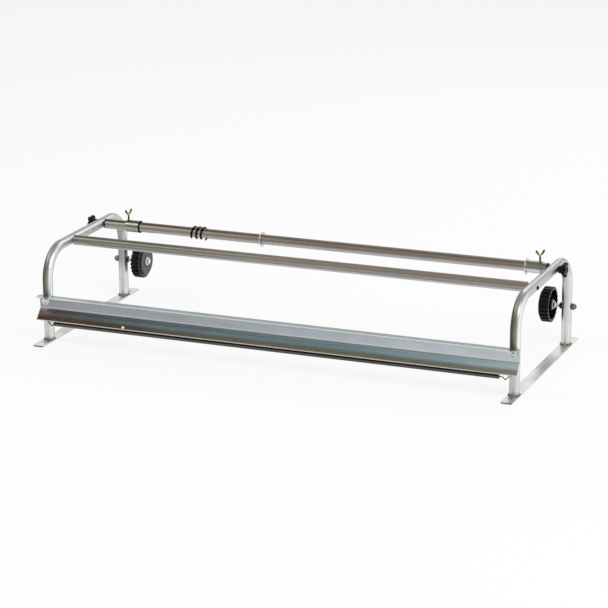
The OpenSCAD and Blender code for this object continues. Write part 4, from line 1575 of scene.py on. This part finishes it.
@dataclass(frozen=True)
class Spindle:
    """The paper spindle with its collars, wing screws, discs and drag spring."""

    collar_left: float = -451.0
    collar_right: float = 490.0
    wing_offset: float = 12.0
    collar_half: float = 16.0
    ring_play: float = 0.25
    ring_wire_r: float = 1.3
    mould_line: float = 0.015
    mould_power: int = 40
    ring_samples: int = 40
    ring_columns: int = 96
    left_turn: float = 72.0
    right_turn: float = 40.0
    divider_x: float = -137.0
    disc: Washer = Washer(35.0, 22.7, 2.0, 0.45)
    wing: WingScrew = WingScrew()
    spring: DragSpring = DragSpring()

    def disc_at(self, x: float) -> Shell:
        """Returns a roll disc whose left face is at x."""
        return self.disc.shell().outward(Side.RIGHT, x, SPINDLE_Y, RAIL_Z)

    def ring(self) -> Shell:
        """Round ring against the left collar, with a thin mould line along its outside.

        Its section at angle a is (R + r(a) cos a, r(a) sin a), where r(a) is the wire's
        radius times 1 - m + m cos^p a, with m for the mould line and p for its power.

        Returns:
            The ring's shell.
        """
        a = turns(self.ring_samples)
        line = 1 - self.mould_line + self.mould_line * np.cos(a) ** self.mould_power
        size = self.ring_wire_r * line
        middle = TUBE_R + self.ring_play + self.ring_wire_r
        x = self.collar_left + self.collar_half + self.ring_wire_r
        loop = lathe(size * np.sin(a), middle + size * np.cos(a), self.ring_columns, True)
        return loop.outward(Side.RIGHT, x, SPINDLE_Y, RAIL_Z)

    def build(self, shop: Workshop) -> None:
        """Dresses the tube, plugs and collars, and makes the rest.

        Args:
            shop: Makes and dresses the pieces.
        """
        shop.dress(SPINDLE_ZINC, "spindle_tube")
        shop.dress(KNOB_PLASTIC, "spindle_plugs")
        shop.dress(COLLAR_ZINC, "left_collar", "right_collar")
        left = self.wing.shell(self.collar_left - self.wing_offset, self.left_turn)
        right = self.wing.shell(self.collar_right + self.wing_offset, self.right_turn)
        loose = self.disc_at(self.divider_x)
        stop = self.disc_at(self.collar_right - self.collar_half - self.disc.thickness)
        coil = self.spring.shell()
        for name, shell, finish, body, node, slot in (
            ("left_black_ring", self.ring(), BLACK_WIRE, "left_stop", "left_stop_ring", "black_wire"),
            ("left_brass_wing_screw", left, BRASS, "left_wing", "left_wing_screw", "yellow_brass"),
            ("right_brass_wing_screw", right, BRASS, "right_wing", "right_wing_screw", "yellow_brass"),
            ("loose_divider_disc", loose, DISC_ZINC, "divider", "divider_disc", "collar_zinc"),
            ("right_stop_disc", stop, DISC_ZINC, "right_stop", "right_roll_disc", "collar_zinc"),
            ("wire_drag_spring", coil, BLACK_WIRE, "coil", "drag_spring", "black_wire"),
        ):
            shop.piece(name, shell, finish, body, [node])


@dataclass(frozen=True)
class ClampKnobs:
    """The lobed knobs that clamp the spindle's ends, each on a threaded stud.

    The boss's flare is offsets outward and down from its top corner, and the face is
    radii with depths below the top of the head.
    """

    gap: float = 0.2
    boss_r: float = 8.5
    boss_h: float = 8.2
    head_h: float = 9.0
    least_r: float = 10.1
    swell: float = 6.4
    lobes: int = 5
    left_turn: float = 180.0
    sharpness: float = 1.5
    edge: float = 2.0
    edge_steps: int = 6
    boss_cut: float = 0.6
    boss_flare: Line = ((0.0, 1.0), (0.6, 0.2))
    face: Line = ((7.6, 0.0), (7.2, 0.3), (6.9, 1.1), (4.0, 1.1), (3.4, 0.7))
    bore_r: float = 4.05
    bore_end: float = 12.7
    sink: float = 0.5
    stud_d: float = 8.0
    stud_in: float = 20.0
    columns: int = 180

    def shell(self, turn: float) -> Shell:
        """Turned from the blind bore, over the boss and the lobed head, to the sunk face.

        At angle t the head's radius is least + swell |cos(lobes (t - turn) / 2)| to the
        power of its sharpness, less the rounding of its edges.

        Args:
            turn: Turn of the first lobe in degrees.

        Returns:
            The knob's shell.
        """
        n = self.columns
        wave = np.abs(np.cos(self.lobes * (turns(n) - math.radians(turn)) / 2))
        lobed = self.least_r + self.swell * wave**self.sharpness
        foot, top = self.boss_h, self.boss_h + self.head_h
        a = np.radians(np.linspace(0, 90, self.edge_steps))
        low = np.stack([self.edge * (np.sin(a) - 1), foot + self.edge * (1 - np.cos(a))], -1)
        high = np.stack([self.edge * (np.cos(a) - 1), top - self.edge * (1 - np.sin(a))], -1)
        rims = np.concatenate([low, high])
        stem = [(self.bore_r, self.bore_end), (self.bore_r, self.sink), (self.bore_r + self.sink, 0)]
        stem += [(self.boss_r - self.boss_cut, 0), (self.boss_r, self.boss_cut)]
        stem += [(self.boss_r + out, foot - down) for out, down in self.boss_flare]
        inner, face = np.array(stem), np.array([(r, top - down) for r, down in self.face])
        radii = [np.tile(inner[:, :1], n), lobed + rims[:, :1], np.tile(face[:, :1], n)]
        return lathe(np.concatenate([inner, rims, face])[:, 1], np.concatenate(radii), n)

    def build(self, shop: Workshop) -> None:
        """Makes both knobs and both studs.

        Args:
            shop: Makes and dresses the pieces.
        """
        base, inner = FRAME_OUT + self.gap, FRAME_IN - self.stud_in
        rod = ThreadedRod(self.stud_d, base + self.bore_end - inner)
        for side in Side:
            name = side.name.lower()
            turn = self.left_turn if side is Side.LEFT else 0.0
            knob = self.shell(turn).outward(side, base, SPINDLE_Y, RAIL_Z)
            stud = rod.shell().outward(side, inner, SPINDLE_Y, RAIL_Z)
            body = f"{name}_clamp_knob"
            shop.piece(
                f"{name}_lobed_knob", knob, KNOB_PLASTIC, body, [f"{name}_knob"]
            )
            shop.piece(
                f"{name}_threaded_stud", stud, BRIGHT_STEEL, body, [f"{name}_knob_stud"],
                CREASE_FINE,
            )


@dataclass(frozen=True)
class TapeHubs:
    """The two ribbed tape hubs on their axles, with the nuts and washers.

    Lines that end in edge or foot are offsets, across and along the axle, from the
    corner that they ease. The groove's points are radii with depths in the inner face.
    """

    left_gap: float = 26.0
    right_gap: float = 20.0
    width: float = 24.0
    lead: float = 4.0
    lead_r: float = 32.0
    root_r: float = 35.7
    crest_r: float = 38.7
    ribs: int = 24
    crest_angle: float = 3.6
    fall_angle: float = 0.8
    wall_r: float = 32.5
    web: float = 5.0
    boss_r: float = 12.0
    recess: float = 1.0
    bore_r: float = 4.08
    mouth_r: float = 4.6
    sink: float = 0.5
    groove: Line = ((13.6, 0.0), (14.0, 0.4), (25.4, 0.4), (25.8, 0.0))
    lead_edge: Line = ((0.9, 0.0), (0.3, 0.3), (0.0, 0.9))
    rib_edge: Line = ((0.7, 0.0), (0.15, 0.25), (0.0, 0.8))
    wall_edge: Line = ((0.7, 0.0), (0.1, 0.3), (0.0, 0.9))
    wall_foot: Line = ((0.3, 1.2), (1.2, 0.0))
    boss_foot: Line = ((1.2, 0.0), (0.2, 0.9))
    boss_edge: Line = ((0.0, 0.7), (0.7, 0.0))
    samples: int = 20
    axle_d: float = 8.0
    axle_end: float = 2.0
    play: float = 0.3
    dome: DomeNut = DomeNut(13.0, 6.0, 8.1)
    nut: HexNut = HexNut(13.0, 4.0, 8.1)
    washer: Washer = Washer(19.0, 8.6, 1.6)

    def tread(self) -> np.ndarray:
        """Radius of the ribbed drum at each column.

        With d the angle to the nearest rib's middle, the radius is the crest's up to the
        crest angle and falls smoothly to the root's over the fall angle.

        Returns:
            One radius a column.
        """
        pitch = 2 * math.pi / self.ribs
        d = np.degrees(np.abs((turns(self.ribs * self.samples) + pitch / 2) % pitch - pitch / 2))
        fall = np.clip((d - self.crest_angle) / self.fall_angle, 0, 1)
        return self.root_r + (self.crest_r - self.root_r) * (1 - fall**2 * (3 - 2 * fall))

    def drum(self) -> Shell:
        """Turned loop: inner face with its ring groove, lead-in, ribs, recess and boss.

        Returns:
            The hub's shell.
        """
        w, tread = self.width, self.tread()
        boss_top = w - self.recess
        front = [(self.mouth_r, 0.0), *self.groove]
        front += [(self.lead_r - inward, up) for inward, up in self.lead_edge]
        front += [(self.lead_r, self.lead)]
        ribbed = [(-inward, self.lead + up) for inward, up in self.rib_edge]
        ribbed += [(-inward, w - down) for inward, down in self.rib_edge[::-1]]
        back = [(self.wall_r + out, w - down) for out, down in self.wall_edge]
        back += [(self.wall_r - inward, self.web + up) for inward, up in self.wall_foot]
        back += [(self.boss_r + out, self.web + up) for out, up in self.boss_foot]
        back += [(self.boss_r - inward, boss_top - down) for inward, down in self.boss_edge]
        back += [(self.mouth_r, boss_top), (self.bore_r, boss_top - self.sink), (self.bore_r, self.sink)]
        rings = [(r + 0 * tread, z) for r, z in front]
        rings += [(tread + d, z) for d, z in ribbed]
        rings += [(r + 0 * tread, z) for r, z in back]
        radii, heights = zip(*rings)
        return lathe(heights, np.stack(radii), len(tread), True)

    def inner_x(self, side: Side) -> float:
        """Returns how far a hub's inner face stands from the machine's middle."""
        return FRAME_IN - self.width - (self.left_gap if side is Side.LEFT else self.right_gap)

    def at(self, side: Side, shell: Shell, x: float) -> Shell:
        """Returns the shell on a side's axle, from the distance x outward."""
        return shell.outward(side, x, LEG_Y, HUB_Z)

    def build(self, shop: Workshop) -> None:
        """Makes the hubs and axles, then each pair of nuts and washers.

        The nuts at the legs stand at a fixed distance from the machine's middle, and the
        others at a distance from their hub's inner face, stacked on it with some play.

        Args:
            shop: Makes and dresses the pieces.
        """
        washer_in = -self.play - self.washer.thickness
        nut_in = washer_in - self.nut.height
        washer_out = self.width - self.recess + self.play
        nut_out = washer_out + self.washer.thickness
        for side in Side:
            name, x = side.name.lower(), self.inner_x(side)
            start = x + nut_in - self.axle_end
            rod = ThreadedRod(self.axle_d, FRAME_OUT + self.dome.height - start).shell()
            hub, axle = self.at(side, self.drum(), x), self.at(side, rod, start)
            shop.piece(
                f"{name}_ribbed_hub", hub, HUB_PLASTIC, f"{name}_hub", [f"{name}_tape_hub"],
                CREASE_DRUM,
            )
            shop.piece(
                f"{name}_threaded_axle", axle, BRIGHT_STEEL, "frame", [f"{name}_hub_axle"],
                CREASE_FINE,
            )
        dome, nut, ring = self.dome.shell(), self.nut.shell(), self.washer.shell()
        lock_x = FRAME_IN - self.nut.height
        fixed, steel = {side: 0.0 for side in Side}, BRIGHT_STEEL
        riding = {side: self.inner_x(side) for side in Side}
        for name, shell, base, away, finish, node, slot in (
            ("dome_nuts", dome, fixed, FRAME_OUT, DOME_STEEL, "axle_dome", "bright_steel"),
            ("lock_nuts", nut, fixed, lock_x, DARK_STEEL, "axle_lock", "dark_fastener"),
            ("outer_thin_nuts", nut, riding, nut_out, steel, "hub_outer", "bright_steel"),
            ("inner_thin_nuts", nut, riding, nut_in, steel, "hub_inner", "bright_steel"),
            ("outer_steel_washers", ring, riding, washer_out, steel, "hub_outer", "bright_steel"),
            ("inner_nylon_washers", ring, riding, washer_in, NYLON, "hub_inner", "white_nylon"),
        ):
            both = Shell.join([self.at(side, shell, base[side] + away) for side in Side])
            node = f"{node}_washers" if shell is ring else f"{node}_nuts"
            shop.piece(name, both, finish, "frame", [node], CREASE_PLATE)


@dataclass(frozen=True)
class CutterPlate:
    """The folded cutter sheet with its teeth, hem, screws and rivet."""

    sheet: float = 1.5
    bend_r: float = 1.5
    tip_u: float = 29.5
    root_u: float = 22.5
    pitch: float = 5.15
    teeth: int = 209
    lip_angle: float = 42.0
    lip: float = 27.5
    hem: float = 8.0
    fold_gap: float = 0.08
    flange_u: tuple[float, ...] = (22.4, 17.0, 11.0, 5.0)
    web_steps: int = 5
    lip_start: float = 0.04
    lip_steps: int = 8
    hem_steps: int = 4
    bend_steps: int = 8
    lower_steps: int = 6
    screw_z: float = 93.0
    screw: ButtonScrew = ButtonScrew(6.0, 16.0, 11.5, 3.4)
    washer: Washer = Washer(18.0, 6.6, 1.6, 0.3)
    rivet_x: float = -338.6
    rivet_down: float = 23.5
    rivet_d: float = 8.0
    rivet_h: float = 2.2
    rivet_shank: float = 4.0
    rivet_tail: float = 6.5
    rivet_tail_h: float = 1.8
    rivet_cut: float = 0.5
    rivet_steps: int = 9
    rivet_columns: int = 40

    def section(self) -> tuple[np.ndarray, np.ndarray, np.ndarray, np.ndarray]:
        """Directions and centres that the section is drawn from, in (u, v).

        Returns:
            The way down the lip, the way out of its front face, and the centres of the
            upper and the lower bend.
        """
        angle, out_r = math.radians(self.lip_angle), self.bend_r + self.sheet
        way = np.array([math.sin(angle), -math.cos(angle)])
        out = np.array([math.cos(angle), math.sin(angle)])
        return way, out, np.array([out_r, PLATE_TOP - out_r]), np.array([out_r, PLATE_BEND])

    def layers(self) -> tuple[np.ndarray, np.ndarray]:
        """Back and front lines of the sheet's section, point against point.

        In (u, v), with u forward of the legs and v up, both lines come from the toothed
        edge, round the upper bend, down the web, round the lower bend, down the lip,
        round the fold and up the hem.

        Returns:
            The back line and the front line.
        """
        way, out, high, low = self.section()
        out_r = self.bend_r + self.sheet
        back_end = low - out_r * out + self.lip * way
        flange = np.array(self.flange_u)
        web = np.linspace(high[1], low[1], self.web_steps)[1:-1]
        run = np.linspace(self.lip_start, 1, self.lip_steps)[:-1, None] * self.lip
        hem = np.linspace(0, 1, self.hem_steps)[1:, None] * self.hem
        fold = (self.lip_angle, self.lip_angle - 180, self.bend_steps)
        lines = []
        for depth, near in ((0.0, self.fold_gap), (self.sheet, self.sheet)):
            r, level = out_r - depth, PLATE_TOP - depth
            parts = [
                [[self.tip_u, level]],
                np.stack([flange, 0 * flange + level], -1),
                arc(high, r, 90, 180, self.bend_steps),
                np.stack([0 * web + depth, web], -1),
                arc(low, r, 180, 180 + self.lip_angle, self.lower_steps),
                low - r * out + run * way,
                arc(back_end, near, *fold),
                back_end - near * out - hem * way,
            ]
            lines.append(np.concatenate(parts))
        return lines[0], lines[1]

    def sheet_shell(self) -> Shell:
        """The section carried along X, with its first points cut back between the teeth.

        With p = x / pitch, the edge stands at root + (tip - root) (1 - |2 frac(p) - 1|).
        The two ends are closed by strips between the two lines.

        Returns:
            The sheet's shell.
        """
        back, front = self.layers()
        loop = np.concatenate([back, front[::-1]])
        reach = self.teeth * self.pitch / 2
        toothed = np.linspace(-reach, reach, 2 * self.teeth + 1)
        x = np.concatenate([[-PLATE_HALF], toothed, [PLATE_HALF]])
        phase = (x[1:-1] + reach) / self.pitch
        cut = 1 - np.abs(2 * (phase - np.floor(phase)) - 1)
        edge = self.root_u + np.concatenate([[0], (self.tip_u - self.root_u) * cut, [0]])
        u = loop[None, :, 0]
        u = np.minimum(u, np.where(u > self.root_u, edge[:, None], np.inf))
        rings = np.stack([x[:, None] + 0 * u, FRONT_Y - u, loop[None, :, 1] + 0 * u], -1)
        rows, columns, _ = rings.shape
        k = np.arange(columns // 2 - 1)
        strip = np.stack([k, k + 1, columns - 2 - k, columns - 1 - k], -1)
        ends = np.concatenate([strip[:, ::-1], strip + (rows - 1) * columns])
        quads = np.concatenate([lattice(rows, columns, False), ends])
        return Shell(rings.reshape(-1, 3), quads, np.empty((0, 3), int)).facing_out()

    def rivet(self) -> Shell:
        """Turned rivet: tail, shank and low dome, square to the lip's front face.

        Returns:
            The rivet's shell.
        """
        way, out, _, low = self.section()
        spot = low - self.bend_r * out + self.rivet_down * way
        r, s, t = self.rivet_d / 2, self.rivet_shank / 2, self.rivet_tail / 2
        grip = 2 * self.sheet
        foot = grip + self.rivet_tail_h
        cap = r * np.cos(np.linspace(0, math.pi / 2, self.rivet_steps)[:-1])
        ball = (r**2 + self.rivet_h**2) / (2 * self.rivet_h)
        stem = [[t - self.rivet_cut, -foot], [t, self.rivet_cut - foot], [t, -grip], [s, -grip], [s, 0]]
        dome = np.stack([cap, self.rivet_h - ball + np.sqrt(ball**2 - cap**2)], -1)
        profile = np.concatenate([stem, dome])
        z_axis = np.array([0, -out[0], out[1]])
        turn = np.stack([[1.0, 0, 0], np.cross(z_axis, [1.0, 0, 0]), z_axis], -1)
        whole = lathe(profile[:, 1], profile[:, 0], self.rivet_columns)
        return whole.placed(turn, (self.rivet_x, FRONT_Y - spot[0], spot[1]))

    def build(self, shop: Workshop) -> None:
        """Makes the sheet, its screws, washers and rivet, and dresses the rivet nuts.

        Args:
            shop: Makes and dresses the pieces.
        """
        face, ends = FRONT_Y - self.sheet, (-FRAME_X, FRAME_X)
        head = face - self.washer.thickness
        washers = Shell.join([self.washer.shell().forward(x, face, self.screw_z) for x in ends])
        screws = Shell.join([self.screw.shell().forward(x, head, self.screw_z) for x in ends])
        sheet, rivet = self.sheet_shell(), self.rivet()
        for name, shell, finish, node, slot, crease in (
            ("toothed_cutter_sheet", sheet, SHEET_ZINC, "cutter_plate", "plate_zinc", CREASE_PLATE),
            ("cutter_washers", washers, DISC_ZINC, "plate_washers", "bright_steel", CREASE_PLATE),
            ("cutter_button_screws", screws, BRIGHT_STEEL, "plate_screws", "bright_steel", CREASE_PLATE),
            ("domed_lip_rivet", rivet, DISC_ZINC, "lip_rivet", "bright_steel", CREASE_TURNED),
        ):
            shop.piece(name, shell, finish, "frame", [node], crease)
        shop.dress(BRIGHT_STEEL, "plate_rivet_nuts")


@dataclass(frozen=True)
class PresserRod:
    """The bright rod that keeps the paper down, hung on two bent wire hooks.

    A hook steps down from the rod, then climbs at 45 degrees in front of its leg, so its
    lowest point lies as far in from its upper corner as it lies below it.
    """

    z: float = 44.0
    radius: float = 5.0
    y: float = FRONT_Y - radius
    shift: float = -3.0
    end_play: float = 4.5
    bore_r: float = 1.1
    bore: float = 22.0
    chamfer: float = 0.6
    columns: int = 48
    hook_r: float = 1.0
    hook_bend: float = 2.0
    hook_sides: int = 14
    hook_spacing: float = 0.6
    drop: float = 6.0
    rise: float = 6.0
    step: float = 5.0
    insert: float = 19.0
    from_leg: float = 3.0
    high_x: float = FRAME_X - from_leg
    low_x: float = high_x - drop - rise
    bend_x: float = low_x - step
    tip_x: float = bend_x - insert
    leg_depth: float = 3.5
    inner_y: float = FRONT_Y + leg_depth

    def rod(self) -> Shell:
        """Turned along X with chamfered ends and countersunk blind bores.

        Returns:
            The rod's shell.
        """
        half = self.bend_x - self.end_play
        r, b, c, length = self.radius, self.bore_r, self.chamfer, 2 * half
        near = [(b, self.bore), (b, c), (b + c, 0), (r - c, 0), (r, c)]
        radii, heights = zip(*near, *((p, length - q) for p, q in near[::-1]))
        whole = lathe(heights, radii, self.columns)
        return whole.outward(Side.RIGHT, self.shift - half, self.y, self.z)

    def hook(self, side: Side) -> Shell:
        """Wire from the rod's bore through a V, up, and back into the leg.

        Args:
            side: End of the machine.

        Returns:
            The hook's shell.
        """
        s = side.value
        corners = np.array(
            [
                [s * self.tip_x, self.y, self.z],
                [s * self.bend_x, self.y, self.z],
                [s * self.low_x, self.y, self.z - self.drop],
                [s * self.high_x, self.y, self.z + self.rise],
                [s * self.high_x, self.inner_y, self.z + self.rise],
            ]
        )
        path = eased(corners, self.hook_bend)
        return wire(path, self.hook_r, (0, -1, 1), self.hook_sides, self.hook_spacing)

    def build(self, shop: Workshop) -> None:
        """Makes the rod and its hooks.

        Args:
            shop: Makes and dresses the pieces.
        """
        shop.piece("bright_presser_rod", self.rod(), ROD_STEEL, "rod", ["presser_rod"])
        for side in Side:
            name = side.name.lower()
            shop.piece(
                f"{name}_wire_hook", self.hook(side), BLACK_WIRE, "frame", [f"{name}_rod_hook"],
                CREASE_WIRE,
            )


# Studio


@dataclass(frozen=True)
class Softbox:
    """A square lamp: its place and aim in metres, its size, its power and its colour."""

    name: str
    place: Point
    aim: Point
    size: float
    power: float
    colour: Point = (1.0, 1.0, 1.0)

    def light(self) -> None:
        """Adds the lamp, turned from its place towards its aim."""
        lamp = bpy.data.lights.new(self.name, "AREA")
        lamp.size = self.size
        lamp.energy = self.power
        lamp.color = self.colour
        made = bpy.data.objects.new(self.name, lamp)
        made.location = self.place
        way = Vector(self.aim) - Vector(self.place)
        made.rotation_euler = way.to_track_quat("-Z", "Y").to_euler()
        made.visible_camera = False
        bpy.context.scene.collection.objects.link(made)


@dataclass(frozen=True)
class Viewpoint:
    """The photograph's camera: its place in metres and how it is turned."""

    place: Point = (1.9754, -4.8418, 1.6428)
    azimuth: float = 22.249
    elevation: float = 16.56
    roll: float = -0.33
    lens: float = 148.7
    sensor: float = 36.0
    far: float = 60.0

    def shoot(self) -> None:
        """Adds the camera, whose axes are worked out from its angles, and uses it."""
        a, e, r = (math.radians(v) for v in (self.azimuth, self.elevation, self.roll))
        right = np.array([math.cos(a), math.sin(a), 0.0])
        up = np.array([-math.sin(a) * math.sin(e), math.cos(a) * math.sin(e), math.cos(e)])
        tilt = np.array([[math.cos(r), math.sin(r)], [-math.sin(r), math.cos(r)]])
        right, up = tilt @ np.stack([right, up])
        back = np.cross(right, up)
        camera = bpy.data.cameras.new("view")
        camera.lens = self.lens
        camera.sensor_width = self.sensor
        camera.clip_end = self.far
        made = bpy.data.objects.new("view", camera)
        turn = Matrix(np.stack([right, up, back], -1).tolist()).to_4x4()
        made.matrix_world = Matrix.Translation(self.place) @ turn
        bpy.context.scene.collection.objects.link(made)
        bpy.context.scene.camera = made


@dataclass(frozen=True)
class Studio:
    """A white floor under a white sky, a pale hood that only gloss sees, and lamps.

    Radii are in metres, the floor's thickness in millimetres and the hood's edges in
    degrees above the floor. Colours here are light, from 0 to 1.
    """

    floor_r: float = 9.0
    floor_t: float = 1.0
    floor_columns: int = 128
    floor_grey: Point = (0.93, 0.93, 0.93)
    floor_white: float = 0.8
    white: Point = (1.0, 1.0, 1.0)
    hood_r: float = 6.0
    hood_colour: Point = (0.80, 0.79, 0.77)
    hood_columns: int = 96
    hood_rows: int = 24
    hood_top: float = 89.0
    hood_low_front: float = 4.0
    hood_low_back: float = 30.0
    ambient: float = 0.55
    viewpoint: Viewpoint = Viewpoint()
    lamps: tuple[Softbox, ...] = (
        Softbox("key", (2.0, -1.6, 2.6), (0.1, 0.0, 0.1), 1.6, 42.0),
        Softbox("fill", (-2.3, -1.2, 2.2), (-0.1, 0.0, 0.1), 1.8, 20.0),
        Softbox("rear", (0.4, 2.6, 2.4), (0.0, 0.0, 0.1), 1.6, 22.0),
    )

    def floor(self) -> None:
        """A round pale slab under z = 0 that is mostly its own white and takes shadows."""
        t = turns(self.floor_columns)
        ring = np.stack([np.cos(t), np.sin(t), 0 * t], -1) * self.floor_r / MM
        slab = skin(np.stack([ring - [0, 0, self.floor_t], ring]))
        paint = bpy.data.materials.new("floor")
        paint.use_nodes = True
        bench = Bench(paint.node_tree)
        lit = bench.node("ShaderNodeBsdfDiffuse", inputs={"Color": (*self.floor_grey, 1)})
        own = self.glow(bench, "ShaderNodeEmission", self.white, 1.0)
        share = self.floor_white * seen_directly(bench)
        parts = {0: share, 1: Flow(bench, lit.outputs[0]), 2: Flow(bench, own.outputs[0])}
        bench.surface(bench.node("ShaderNodeMixShader", inputs=parts))
        self.stand("floor", slab, paint)

    def hood(self) -> None:
        """Part of a dome round the machine, seen by glossy rays alone.

        At azimuth t the dome starts at elevation e0 = back + (front - back) (1 + cos t)/2,
        with t = 0 in front, and its points are R (sin t cos e, -cos t cos e, sin e).
        """
        t = turns(self.hood_columns)
        ahead = (1 + np.cos(t)) / 2
        start = self.hood_low_back + (self.hood_low_front - self.hood_low_back) * ahead
        rise = np.linspace(0, 1, self.hood_rows)[:, None]
        e = np.radians(start + (self.hood_top - start) * rise)
        points = [np.sin(t) * np.cos(e), -np.cos(t) * np.cos(e), np.sin(e) + 0 * t]
        rings = self.hood_r / MM * np.stack(points, -1)
        dome = Shell(
            rings.reshape(-1, 3),
            lattice(self.hood_rows, self.hood_columns, False),
            np.empty((0, 3), int),
        )
        paint = bpy.data.materials.new("hood")
        paint.use_nodes = True
        bench = Bench(paint.node_tree)
        bench.surface(self.glow(bench, "ShaderNodeEmission", self.hood_colour, 1.0))
        made = self.stand("hood", dome, paint)
        made.visible_camera = False
        made.visible_diffuse = False
        made.visible_shadow = False
        made.visible_transmission = False

    def sky(self) -> None:
        """White where the camera, gloss or glass sees it, and plain light elsewhere."""
        world = bpy.data.worlds.new("sky")
        world.use_nodes = True
        bench = Bench(world.node_tree)
        white = self.glow(bench, "ShaderNodeBackground", self.white, 1.0)
        plain = self.glow(bench, "ShaderNodeBackground", self.white, self.ambient)
        share = seen_directly(bench)
        parts = {0: share, 1: Flow(bench, plain.outputs[0]), 2: Flow(bench, white.outputs[0])}
        mixed = bench.node("ShaderNodeMixShader", inputs=parts)
        bench.node("ShaderNodeOutputWorld", inputs={"Surface": Flow(bench, mixed.outputs[0])})
        bpy.context.scene.world = world

    def glow(self, bench: Bench, kind: str, colour: Point, strength: float) -> bpy.types.Node:
        """Returns a node of the given kind that shines with a colour and a strength."""
        return bench.node(kind, inputs={"Color": (*colour, 1), "Strength": strength})

    def stand(self, name: str, shell: Shell, paint: bpy.types.Material) -> bpy.types.Object:
        """Puts up a piece of the studio.

        Args:
            name: Its name.
            shell: Its shell in millimetres.
            paint: Its material.

        Returns:
            Its object.
        """
        made = bpy.data.objects.new(name, mesh_of(name, shell, CREASE_PLATE))
        made.data.materials.append(paint)
        bpy.context.scene.collection.objects.link(made)
        return made

    def build(self) -> None:
        """Sets up the camera, floor, hood, sky and lamps."""
        bpy.context.scene.view_settings.view_transform = "Standard"
        self.viewpoint.shoot()
        self.floor()
        self.hood()
        self.sky()
        for lamp in self.lamps:
            lamp.light()


def seen_directly(bench: Bench) -> Flow:
    """Tells the rays that see a surface as it is from those that only carry its light.

    Args:
        bench: Where the nodes stand.

    Returns:
        1 for rays from the camera, from gloss and through glass, and 0 otherwise.
    """
    path = bench.node("ShaderNodeLightPath")
    names = ("Is Camera Ray", "Is Glossy Ray", "Is Transmission Ray")
    camera, gloss, glass = (Flow(bench, path.outputs[name]) for name in names)
    return camera.most(gloss).most(glass)


def main() -> None:
    """Builds the studio and every sub-assembly."""
    logging.basicConfig(level=logging.INFO, format="%(name)s: %(message)s")
    shop = Workshop()
    Studio().build()
    for kind in (SideFrames, GuideTube, Spindle, ClampKnobs, TapeHubs, CutterPlate, PresserRod):
        LOG.info("building %s", kind.__name__)
        kind().build(shop)
    bpy.context.view_layer.update()


if __name__ == "__main__":
    main()
